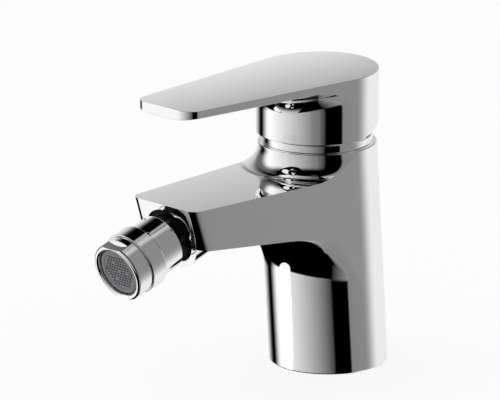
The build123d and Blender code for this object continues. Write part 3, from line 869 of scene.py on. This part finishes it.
@dataclass
class TapBody:
    """The body casting: a leaning column with a spout that grows out of it, and its ring on top."""

    finisher: Finisher
    radius: float = 23.2
    height: float = 89.8
    lean: float = 6.6
    spout_top: float = 80.5
    spout_reach: float = 90.9
    taper_deg: float = 4.2
    dip_deg: float = 18.0
    corner_radius: float = 5.0
    root_height: float = 56.6
    rise_deg: float = 5.5
    arch_radius: float = 21.5
    neck_radius: float = 7.5
    corner_ease: float = 8.0
    crown_radius: float = 1200.0
    edge_radius: float = 0.85
    rim_radius: float = 0.4
    foot_chamfer: float = 0.5
    nozzle_line: float = 67.3
    boss_radius: float = 13.8
    boss_length: float = 27.0
    pocket_radius: float = 11.1
    pocket_depth: float = 3.0
    sliver: float = 2e-3
    chamber_radius: float = 17.7
    chamber_floor: float = 56.0
    nut_radius: float = 20.0
    nut_floor: float = 80.0
    groove: tuple[float, float, float] = (18.6, 21.4, 1.8)
    stud_y: float = 9.5
    inlet_x: float = 7.5
    inlet_y: float = -3.6
    inlet_radius: float = 3.6

    def arm(self) -> Arm:
        """Describes the spout.

        Returns:
            The spout's prism.
        """
        dip = radians(self.dip_deg)
        return Arm(
            Vector((0, 0, 0)), Vector((0, -self.lean, self.height)).normalized(), self.radius, self.taper_deg,
            Vector((0, -self.spout_reach, self.spout_top)), Vector((0, -cos(dip), -sin(dip))), self.corner_radius,
        )

    def shell(self) -> Shape:
        """Weaves the outside of the casting, without its boss and holes.

        Returns:
            A closed mesh, in millimetres.
        """
        arm = self.arm()
        under = Vector((0, -tan(radians(self.rise_deg)), -1)).normalized()
        low = arm.half_columns(
            Flat(Vector((0, -self.lean, self.root_height)), under), self.arch_radius, self.corner_ease
        )
        high = arm.half_columns(Flat(Vector((0, 0, self.spout_top)), UP), self.neck_radius)
        half = []
        for below, above in zip(low, high):
            crowned = []
            for place, point in enumerate(above):
                share = min(1.0, place / arm.counts.arc)
                crowned.append(point - Vector((0, 0, share * point.x**2 / (2 * self.crown_radius))))
            half.append(self.foot(arm, arm.polar(below[0])) + below + crowned[::-1]
                        + self.rim(arm, arm.polar(above[0])))
        columns = mirrored(half)
        feet, rims = len(self.foot(arm, 0.0)), len(self.rim(arm, 0.0))
        for angle in arm.rear_angles:
            middle = [arm.wall(angle, point.z) for point in half[0][feet:-rims]]
            columns.append(self.foot(arm, angle) + middle + self.rim(arm, angle))
        return woven(columns)

    def foot(self, arm: Arm, angle: float) -> Run:
        """The chamfered bottom edge of the column at an angle."""
        chamfer = self.foot_chamfer
        return [arm.wall(angle, 0.0, chamfer), arm.wall(angle, chamfer / 2, chamfer / 2), arm.wall(angle, chamfer)]

    def rim(self, arm: Arm, angle: float) -> Run:
        """Samples the rounded top edge of the column.

        Args:
            arm: The spout's prism.
            angle: The angle round the column.

        Returns:
            Points from the outside to the top.
        """
        size, points = self.rim_radius, []
        for step in range(4):
            turn = step / 3 * pi / 2
            points.append(arm.wall(angle, self.height - size * (1 - sin(turn)), size * (1 - cos(turn))))
        return points

    def nozzle_frame(self) -> Matrix:
        """Finds the frame at the spout's face.

        Returns:
            The frame, whose Z runs out along the nozzle.
        """
        dip = radians(self.dip_deg)
        face_y = -self.spout_reach + (self.spout_top - self.nozzle_line) * tan(dip)
        return frame_matrix(Vector((0, face_y, self.nozzle_line)), Vector((0, -cos(dip), -sin(dip))))

    def build(self, chrome: Material) -> None:
        """Builds the casting and its cover ring, and dresses them.

        Args:
            chrome: The plating.
        """
        nozzle = self.nozzle_frame()
        upright = Matrix.Translation((0, -self.lean, 0))
        spare = self.boss_radius * 2
        boss = combined(
            rod(self.boss_radius, -self.boss_length, 0.0, nozzle, 200), Cut.TAKE_AWAY,
            block((-spare, -self.spout_reach - spare, self.spout_top - 1.0), (spare, spare, self.spout_top + spare),
                  Matrix.Identity(4)),
        )
        shell = self.shell()
        soften(
            shell, self.edge_radius, lambda place: place.y < -self.radius / 2 and 40 < place.z < self.spout_top + 6,
            "body_casting",
        )
        close_skin(shell, self.sliver, self.sliver)
        shell = combined(shell, Cut.JOIN, boss)
        past = self.height + 5.2
        chamber = [
            (0, self.chamber_floor), (self.chamber_radius, self.chamber_floor), (self.chamber_radius, self.nut_floor),
            (self.nut_radius, self.nut_floor), (self.nut_radius, past), (0, past),
        ]
        inside, outside, depth = self.groove
        tools = [
            turned(chamber, upright),
            self.pocket(nozzle),
            turned([(inside, -1.0), (outside, -1.0), (outside, depth), (inside, depth)], Matrix.Identity(4)),
            Thread(3.4, 2.9, 1.25, 16.0).hole(Matrix.Translation((0, self.stud_y, 0))),
        ]
        for side in (-1, 1):
            inlet = Matrix.Translation((side * self.inlet_x, self.inlet_y, 0))
            tools.append(Thread(4.6, 4.0, 1.0, 14.0).hole(inlet))
            tools.append(rod(self.inlet_radius, 13.0, self.chamber_floor + 1.0, inlet, 48))
        for tool in tools:
            shell = combined(shell, Cut.TAKE_AWAY, tool)
            close_skin(shell, self.finisher.weld, self.finisher.weld)
        self.finisher.piece(shell, "body_casting", Body.BODY, chrome, "chrome_body", "tap_body")
        ring = rounded(
            [(20, 89.8), (21.6, 89.8), (21.6, 92.8), (19.1, 94.5), (17.2, 95), (17.2, 92.95), (19.1, 92.95),
             (19.8, 91.8), (20, 90.8)],
            [0, 0.35, 0.5, 0.6, 0.25, 0.1, 0.1, 0.1, 0],
        )
        dome = turned(ring, upright, 200)
        self.finisher.piece(dome, "cover_ring_dome", Body.BODY, chrome, "chrome_trim", "cover_ring")

    def pocket(self, nozzle: Matrix) -> Shape:
        """Builds the tool for the swivel's pocket, with a softened mouth, and for the spigot's bore.

        Args:
            nozzle: The frame at the spout's face.

        Returns:
            A closed mesh, in millimetres.
        """
        mouth, depth = self.pocket_radius, -self.pocket_depth
        profile = [(0, 2), (mouth + 2.3, 2), (mouth + 0.3, 0), (mouth, -0.3), (mouth, depth), (8, depth),
                   (8, -16), (0, -16)]
        return turned(profile, nozzle, 200)


@dataclass
class LeverHandle:
    """The lever: a round hollow cap and a thin blade with a barrel-shaped underside."""

    finisher: Finisher
    centre_y: float = -6.6
    cap_radius: float = 23.8
    cap_wall: float = 1.6
    rim_height: float = 93.6
    top_height: float = 119.1
    roof: float = 4.5
    reach: float = 90.7
    taper_deg: float = 6.1
    tip_radius: float = 6.5
    tip_thickness: float = 4.3
    belly_radius: float = 86.0
    belly_rise_deg: float = 1.6
    arch_radius: float = 9.0
    edge_radius: float = 0.8
    crown_radius: float = 570.0
    relief_start: float = 0.5
    relief_slope_deg: float = 16.5
    post_radius: float = 9.0
    post_bottom: float = 101.0
    socket_half: float = 4.0
    socket_top: float = 111.0
    screw_height: float = 106.5
    screw_radius: float = 2.5
    access_radius: float = 3.2

    def arm(self) -> Arm:
        """Describes the blade.

        Returns:
            The blade's prism.
        """
        return Arm(
            Vector((0, self.centre_y, 0)), UP, self.cap_radius, self.taper_deg,
            Vector((0, -self.reach, self.top_height)), Vector((0, -1, 0)), self.tip_radius,
        )

    def crowned(self, point: Vector) -> Vector:
        """Lets a point of the top sink with its distance from the lever's middle line."""
        return Vector((point.x, point.y, self.top_height - point.x**2 / (2 * self.crown_radius)))

    def top_run(self, outer: Vector, centre: Vector, steps: int) -> Run:
        """Points of the crowned top, from its edge in to its middle."""
        return [self.crowned(outer.lerp(centre, step / steps)) for step in range(steps + 1)]

    def shell(self) -> Shape:
        """Weaves the outside of the lever, without its hollow and holes.

        Returns:
            A closed mesh, in millimetres.
        """
        arm = self.arm()
        rise = radians(self.belly_rise_deg)
        axis_height = self.top_height - self.tip_thickness + self.belly_radius
        belly = Barrel(Vector((0, -self.reach, axis_height)), Vector((0, cos(rise), -sin(rise))), self.belly_radius)
        low = arm.half_columns(belly, self.arch_radius)
        top = Flat(Vector((0, 0, self.top_height)), UP)
        centre = self.crowned(arm.origin)
        half = []
        for column in low:
            outer = top.slide(column[-1], arm.axis)
            if (column[-1] - column[0]).length < 1e-3:
                outer = arm.wall(arm.polar(column[0]), self.top_height)
            wall = [arm.wall(arm.polar(column[0]), self.rim_height)]
            half.append(wall + column + self.top_run(outer, centre, arm.counts.crown))
        columns = mirrored(half)
        for angle in arm.rear_angles:
            walls = [arm.wall(angle, point.z) for point in half[0][: -arm.counts.crown - 1]]
            columns.append(walls + self.top_run(arm.wall(angle, self.top_height), centre, arm.counts.crown))
        return woven(columns)

    def on_rim(self, place: Vector) -> bool:
        """Tells whether a point lies on the outer edge of the cap's rim."""
        away = Vector((place.x, place.y - self.centre_y)).length
        return place.z < self.rim_height + 9 and away > self.cap_radius - 0.4

    def build(self, chrome: Material) -> None:
        """Builds the lever and dresses it.

        Args:
            chrome: The plating.
        """
        shell = self.shell()
        soften(shell, self.edge_radius, lambda place: place.z > self.rim_height + 4, "lever_blade")
        upright = Matrix.Translation((0, self.centre_y, 0))
        inside, ceiling = self.cap_radius - self.cap_wall, self.top_height - self.roof
        post, bottom, below, half = self.post_radius, self.post_bottom, self.rim_height - 3.6, self.socket_half
        hollow = turned(
            [(post, bottom), (post, ceiling), (inside, ceiling), (inside, below), (0, below), (0, bottom)], upright, 200
        )
        socket = block((-half, -half, bottom - 1.0), (half, half, self.socket_top), upright)
        screw = frame_matrix(Vector((0, self.centre_y, self.screw_height)), Vector((0, 1, 0)))
        slope = Matrix.Rotation(radians(self.relief_slope_deg), 4, "X")
        relief = Matrix.Translation((0, self.centre_y - self.relief_start, self.rim_height)) @ slope
        shell = combined(
            shell, Cut.TAKE_AWAY, hollow, socket, rod(self.screw_radius, 0.0, post + 0.5, screw, 48),
            rod(self.access_radius, post, 26.0, screw, 48), block((-40, 0, -20), (40, 60, 0), relief),
        )
        soften(shell, 0.3, self.on_rim, "lever_rim")
        self.finisher.piece(shell, "lever_blade", Body.LEVER, chrome, "chrome_lever", "lever_handle")


@dataclass
class SwivelNozzle:
    """The swivel and the nozzle, as turned pieces along the nozzle line."""

    finisher: Finisher
    frame: Matrix
    ball_radius: float = 8.5
    ball_distance: float = 10.0
    neck_radius: float = 5.2
    steps: int = 192

    def spun(self, profile: Sequence[Point]) -> Shape:
        """Spins a profile about the nozzle line."""
        return turned(profile, self.frame, self.steps)

    def on_ball(self, radius: float, distance: float) -> Point:
        """A point of a sphere round the ball's centre at a distance along the line."""
        return (sqrt(radius**2 - (distance - self.ball_distance) ** 2), distance)

    def sphere_run(self, radius: float, start: float, end: float, steps: int = 20) -> list[Point]:
        """Samples a sphere round the ball's centre.

        Args:
            radius: The sphere's radius.
            start: The distance along the line where the points begin.
            end: The distance where they end.
            steps: The number of steps between them.

        Returns:
            The points as (radius, distance).
        """
        first = asin((start - self.ball_distance) / radius)
        last = asin((end - self.ball_distance) / radius)
        points = []
        for step in range(steps + 1):
            turn = first + (last - first) * step / steps
            points.append((radius * cos(turn), self.ball_distance + radius * sin(turn)))
        return points

    def nipple(self) -> Shape:
        """Builds the fixed nipple: spigot, flange, neck and bored ball.

        Returns:
            A closed mesh, in millimetres.
        """
        neck_end = self.ball_distance - sqrt(self.ball_radius**2 - self.neck_radius**2)
        ball_front = self.ball_distance + self.ball_radius * 0.9
        profile = [(5.5, -15.7), (7.95, -15.7), (7.95, -3), (9.6, -3), (9.6, -1.8), (self.neck_radius, -1.8)]
        profile += self.sphere_run(self.ball_radius, neck_end, ball_front, 40)
        profile += [(3.2, ball_front), (3.2, -7.7), (5.5, -7.7)]
        return self.spun(profile)

    def seal(self) -> Shape:
        """Builds the soft ring that fills the pocket, with a crowned face and a lip at the neck.

        Returns:
            A closed mesh, in millimetres.
        """
        inner, outer, rim = self.neck_radius + 0.05, 11.05, -0.5
        crown = []
        for step in range(17):
            share = step / 16
            crown.append((outer + (inner - outer) * share, rim - 4 * rim * share * (1 - share)))
        profile = [(inner, -1.8), (9.65, -1.8), (9.65, -3), (outer, -3)] + crown
        return self.spun(profile)

    def collar(self) -> Shape:
        """Builds the collar round the ball, open behind and joined to the barrel in front.

        Returns:
            A closed mesh, in millimetres.
        """
        cavity = self.ball_radius + 0.95
        back, front, floor = 4.3, 14.3, 10.1
        mouth = self.on_ball(cavity, back)
        outside = rounded([mouth, (11.0, back), (11.0, front), (10.05, front)], [0, 0.5, 0.12, 0], 6)
        inside = [(10.05, floor)] + self.sphere_run(cavity, floor, back)[:-1]
        return self.spun(outside + inside)

    def barrel(self) -> Shape:
        """Builds the widest section, with its rear chamfer and the aerator's socket.

        Returns:
            A closed mesh, in millimetres.
        """
        profile = rounded(
            [(10, 10.2), (10, 14.3), (11.7, 14.3), (12.4, 15), (12.4, 21.9), (11.05, 21.9), (11.05, 18.25),
             (7, 18.25), (7, 17.15), (8.9, 17.15), (8.9, 10.2)],
            [0, 0, 0.12, 0.2, 0.3, 0.12, 0, 0.1, 0.1, 0, 0],
        )
        return self.spun(profile)

    def housing(self) -> Shape:
        """Builds the front ring with its rounded lip and two spanner flats.

        Returns:
            A closed mesh, in millimetres.
        """
        shoulder, end, mouth_start, back = 22.4, 29.4, 26.9, 18.55
        profile = rounded(
            [(11, back), (11, shoulder), (11.85, shoulder), (11.85, end), (9.6, end), (9.6, mouth_start),
             (10.1, mouth_start), (10.1, back)],
            [0.1, 0, 0.2, 1.05, 1.05, 0.1, 0, 0],
            9,
        )
        ring = self.spun(profile)
        flats = []
        for turn in (0, 180):
            placed = self.frame @ Matrix.Rotation(radians(turn), 4, "Z")
            flats.append(block((-13, 10.7, end - 4.4), (13, 14, end + 1), placed))
        return combined(ring, Cut.TAKE_AWAY, *flats)

    def insert(self) -> Shape:
        """Builds the plastic cup in the front ring's mouth.

        Returns:
            A closed mesh, in millimetres.
        """
        profile = rounded(
            [(10, 19.75), (10, 26.9), (9.2, 26.9), (9.2, 28.2), (7.65, 28.2), (7.65, 26.9), (7.1, 26.9),
             (7.1, 20.95), (8.6, 20.95), (8.6, 19.75)],
            [0, 0, 0, 0.25, 0.2, 0, 0.1, 0, 0, 0],
        )
        return self.spun(profile)

    def screen(self) -> Shape:
        """Builds the perforated disc in the cup's mouth; its middle and three more places have no hole.

        Returns:
            A closed mesh, in millimetres.
        """
        back, front, reach, pitch = 26.95, 27.9, 7.0, 1.36
        blank = [Vector((0.0, 0.0))] + [Vector((4.4 * cos(turn), 4.4 * sin(turn))) for turn in (0.05, 2.1, 4.2)]
        holes = bmesh.new()
        rows = int(reach / pitch) + 2
        for row in range(-rows, rows + 1):
            for place in range(-rows, rows + 1):
                spot = Vector((pitch * (place + 0.5 * (row % 2)), pitch * row * sin(pi / 3)))
                if spot.length < reach and all((spot - other).length > 0.7 * pitch for other in blank):
                    middle = Matrix.Translation((spot.x, spot.y, (back + front) / 2))
                    bmesh.ops.create_cone(
                        holes, cap_ends=True, segments=12, radius1=0.52, radius2=0.52, depth=3.0,
                        matrix=self.frame @ middle,
                    )
        return combined(rod(7.6, back, front, self.frame, self.steps), Cut.TAKE_AWAY, holes)

    def build(self, chrome: Material, seal: Material, plastic: Material) -> None:
        """Builds the swivel and the nozzle and dresses them.

        Args:
            chrome: The plating.
            seal: The soft ring's finish.
            plastic: The insert's finish.
        """
        make = self.finisher.piece
        make(self.nipple(), "nipple_ball", Body.BODY, chrome, "brass_nipple", "ball_nipple")
        make(self.seal(), "pocket_ring", Body.BODY, seal, "black_rubber", "pocket_seal")
        make(self.collar(), "collar_sleeve", Body.NOZZLE, chrome, "chrome_trim", "nozzle_collar")
        make(self.barrel(), "barrel_sleeve", Body.NOZZLE, chrome, "chrome_trim", "nozzle_barrel")
        make(self.housing(), "aerator_ring", Body.NOZZLE, chrome, "chrome_trim", "aerator_housing")
        make(self.insert(), "insert_cup", Body.NOZZLE, plastic, "aerator_plastic", "aerator_insert")
        make(self.screen(), "spray_screen", Body.NOZZLE, plastic, "aerator_plastic", "aerator_screen")


@dataclass
class HiddenWorks:
    """The pieces that keep their solids: cartridge, seals, stem and the nozzle's insides."""

    palette: Palette
    polish: Tree
    dressed: dict[str, tuple[str, ...]] = field(
        default_factory=lambda: {
            "brass": ("cartridge_nut",),
            "satin_steel": ("pivot_pin", "grub_screw", "stem"),
            "ceramic": ("fixed_disc", "moving_disc"),
            "grey_plastic": ("cartridge_base", "stem_carrier", "disc_carrier"),
            "white_plastic": ("cartridge_housing", "ball_slip_ring", "ball_seat"),
            "aerator_plastic": ("flow_plate",),
            "index_plastic": ("index_plug",),
            "rubber": ("base_gasket", "inlet_seal_hot", "inlet_seal_cold", "housing_seal", "aerator_washer"),
        }
    )

    def build(self, made: dict[str, Material]) -> None:
        """Gives every kept solid its finish.

        Args:
            made: Finishes that exist already, by the palette's names.
        """
        for finish, nodes in self.dressed.items():
            material = made.get(finish) or getattr(self.palette, finish).material(self.polish)
            made[finish] = material
            for name in nodes:
                for obj in node_objects(name):
                    obj.data.materials.clear()
                    obj.data.materials.append(material)
                    log.info("%s: kept solid in %s", name, material.name)


def node_objects(name: str) -> list[bpy.types.Object]:
    """The mesh objects imported for a node."""
    return [obj for obj in bpy.data.objects if obj.type == "MESH" and obj.name.split(".")[0] == name]


# The studio


@dataclass(frozen=True)
class Panel:
    """One sheet of light round the mixer, by its span of azimuth and elevation in degrees."""

    name: str
    azimuth: tuple[float, float]
    level: tuple[float, float]
    side_fade: tuple[float, float]
    elevation: tuple[float, float] = (-91.0, 91.0)
    end_fade: tuple[float, float] = (1.0, 1.0)


@dataclass
class Studio:
    """Camera, pale floor, soft lamp and the sheets of light that polished metal shows."""

    azimuth_deg: float = 45.0
    elevation_deg: float = 15.86
    target: Vector = field(default_factory=lambda: Vector((-18.39, -25.02, 65.35)))
    distance: float = 2400.0
    focal_pixels: float = 6178.0
    image_width: float = 500.0
    plain_level: float = 0.85
    floor_white: float = 0.86
    card_radius: float = 46.0
    panels: tuple[Panel, ...] = (
        Panel("front_left_sheet", (-174, -28), (1.34, 0.02), (27, 5), (-28.5, 52), (3, 26)),
        Panel("right_low_sheet", (-32, 6), (0, 0.3), (2, 6), (-80, -22), (20, 8)),
        Panel("left_strip", (168, 214), (0.2, 0.05), (16, 22), (-12, 62), (14, 24)),
        Panel("right_wall", (0.5, 71), (0.23, 0.31), (4, 36)),
        Panel("back_sheet", (35, 130), (0.9, 0.86), (36, 10), (-62, 24), (10, 16)),
        Panel("back_middle_sheet", (120, 152), (0.86, 0.83), (10, 10), (-27, 24), (4, 16)),
        Panel("back_left_sheet", (142, 182), (0.82, 0.33), (10, 22), (-22, 48), (4, 40)),
        Panel("back_glow", (60, 165), (0.25, 0.25), (20, 30), (6, 54), (18, 34)),
        Panel("ceiling_sheet", (20, 112), (0.4, 0.4), (20, 20), (55, 91), (15, 1)),
    )

    def camera(self) -> None:
        """Places the camera at the photograph's viewing angle."""
        camera = bpy.data.cameras.new("studio_camera")
        obj = linked("studio_camera", camera)
        camera.sensor_width = 36.0
        camera.lens = self.focal_pixels * camera.sensor_width / self.image_width
        camera.clip_start, camera.clip_end = 0.1, 30.0
        turn, lift = radians(self.azimuth_deg), radians(self.elevation_deg)
        back = Vector((sin(turn) * cos(lift), -cos(turn) * cos(lift), sin(lift)))
        obj.location = (self.target + back * self.distance) * MM
        obj.rotation_mode = "QUATERNION"
        obj.rotation_quaternion = (-back).to_track_quat("-Z", "Y")
        bpy.context.scene.camera = obj

    def sheet(self, tree: Tree, panel: Panel, azimuth: Socket, elevation: Socket) -> Socket:
        """Adds one sheet of light to the world.

        Args:
            tree: The world's nodes.
            panel: The sheet.
            azimuth: The socket with the direction's azimuth.
            elevation: The socket with the direction's elevation.

        Returns:
            The socket with the sheet's brightness in that direction.
        """
        span = panel.azimuth[1] - panel.azimuth[0]
        past = maths(tree, "WRAP", maths(tree, "SUBTRACT", azimuth, panel.azimuth[0]), 360.0, 0.0)
        level = ramp(tree, past, (0.0, span), panel.level, "LINEAR")
        (near, far), (bottom, top), (down, up) = panel.side_fade, panel.elevation, panel.end_fade
        for value, low, high, target in (
            (past, 0, near, (0, 1)),
            (elevation, bottom, bottom + down, (0, 1)),
            (past, span - far, span, (1, 0)),
            (elevation, top - up, top, (1, 0)),
        ):
            level = maths(tree, "MULTIPLY", level, ramp(tree, value, (low, high), target, "SMOOTHSTEP"))
        return level

    def world(self) -> None:
        """Builds the world: white to the camera, sheets of light to metal, a plain level to the rest."""
        world = bpy.data.worlds.new("studio")
        bpy.context.scene.world = world
        world.use_nodes = True
        tree = world.node_tree
        split = added(tree, "SeparateXYZ", {0: added(tree, "TexCoord").outputs["Generated"]}).outputs
        azimuth = maths(tree, "DEGREES", maths(tree, "ARCTAN2", split["Y"], split["X"]))
        elevation = maths(tree, "DEGREES", maths(tree, "ARCSINE", split["Z"]))
        total = 0.0
        for panel in self.panels:
            total = maths(tree, "ADD", total, self.sheet(tree, panel, azimuth, elevation))
        path = added(tree, "LightPath").outputs
        lit = added(tree, "Mix", {"Factor": path["Is Glossy Ray"], "A": self.plain_level, "B": total})
        seen = added(tree, "Mix", {"Factor": path["Is Camera Ray"], "A": lit.outputs["Result"], "B": 1.0})
        fill(tree, tree.nodes["Background"], {"Color": seen.outputs["Result"]})

    def floor(self) -> None:
        """Lays the pale floor, which keeps the shadow and isn't mirrored in the metal."""
        shape = bmesh.new()
        bmesh.ops.create_grid(shape, x_segments=2, y_segments=2, size=3.0)
        obj = linked("floor", as_mesh(shape, "floor"))
        material = bpy.data.materials.new("pale_floor")
        material.use_nodes = True
        tree = material.node_tree
        pale = {"Base Color": (0.9, 0.9, 0.9, 1.0), "Roughness": 0.9, "Specular IOR Level": 0.0}
        matt = fill(tree, tree.nodes["Principled BSDF"], pale)
        path = added(tree, "LightPath").outputs
        white = maths(tree, "MULTIPLY", path["Is Camera Ray"], self.floor_white)
        lift = added(tree, "MixShader", {0: white, 1: matt.outputs[0], 2: added(tree, "Emission").outputs[0]})
        below = added(tree, "NewGeometry").outputs["Backfacing"]
        hidden = maths(tree, "MAXIMUM", path["Is Glossy Ray"], below)
        clear = added(tree, "BsdfTransparent").outputs[0]
        shown = added(tree, "MixShader", {0: hidden, 1: lift.outputs[0], 2: clear})
        fill(tree, tree.nodes["Material Output"], {"Surface": shown.outputs[0]})
        obj.data.materials.append(material)

    def disk_light(self, name: str, size: float, energy: float, place: Vector, aim: Vector) -> bpy.types.Object:
        """Hangs a round area light.

        Args:
            name: Its name.
            size: Its diameter in metres.
            energy: Its power in watts.
            place: Where it hangs, in metres.
            aim: The direction that it faces.

        Returns:
            The light's object.
        """
        light = bpy.data.lights.new(name, "AREA")
        light.shape = "DISK"
        light.size = size
        light.energy = energy
        obj = linked(name, light)
        obj.location = place
        obj.rotation_mode = "QUATERNION"
        obj.rotation_quaternion = aim.to_track_quat("-Z", "Y")
        return obj

    def lamps(self) -> None:
        """Hangs a large soft lamp out of sight of polished metal, and a small card that only metal shows."""
        lamp = self.disk_light("soft_lamp", 1.2, 5.0, Vector((-0.7, -0.9, 1.6)), Vector((0.7, 0.9, -1.55)))
        lamp.visible_glossy = False
        radius = self.card_radius
        card = self.disk_light(
            "low_card", 2 * radius * MM, (pi * radius * MM) ** 2, Vector((-102.0, -152.0, -30.0)) * MM,
            Vector((0.68, 0.39, 0.62)),
        )
        card.visible_camera = card.visible_diffuse = card.visible_transmission = False

    def build(self) -> None:
        """Builds the whole studio."""
        bpy.context.scene.view_settings.view_transform = "Standard"
        self.camera()
        self.world()
        self.floor()
        self.lamps()
        log.info("studio: %d sheets of light", len(self.panels))


def main() -> None:
    """Builds the mixer piece by piece, then the studio."""
    logging.basicConfig(level=logging.INFO, format="%(name)s %(message)s")
    polish = polish_group()
    palette = Palette()
    finisher = Finisher()
    made = {name: getattr(palette, name).material(polish) for name in ("chrome", "gloss_seal", "aerator_plastic")}
    body = TapBody(finisher)
    body.build(made["chrome"])
    LeverHandle(finisher).build(made["chrome"])
    nozzle = SwivelNozzle(finisher, body.nozzle_frame())
    nozzle.build(made["chrome"], made["gloss_seal"], made["aerator_plastic"])
    HiddenWorks(palette, polish).build(made)
    Studio().build()


if __name__ == "__main__":
    main()
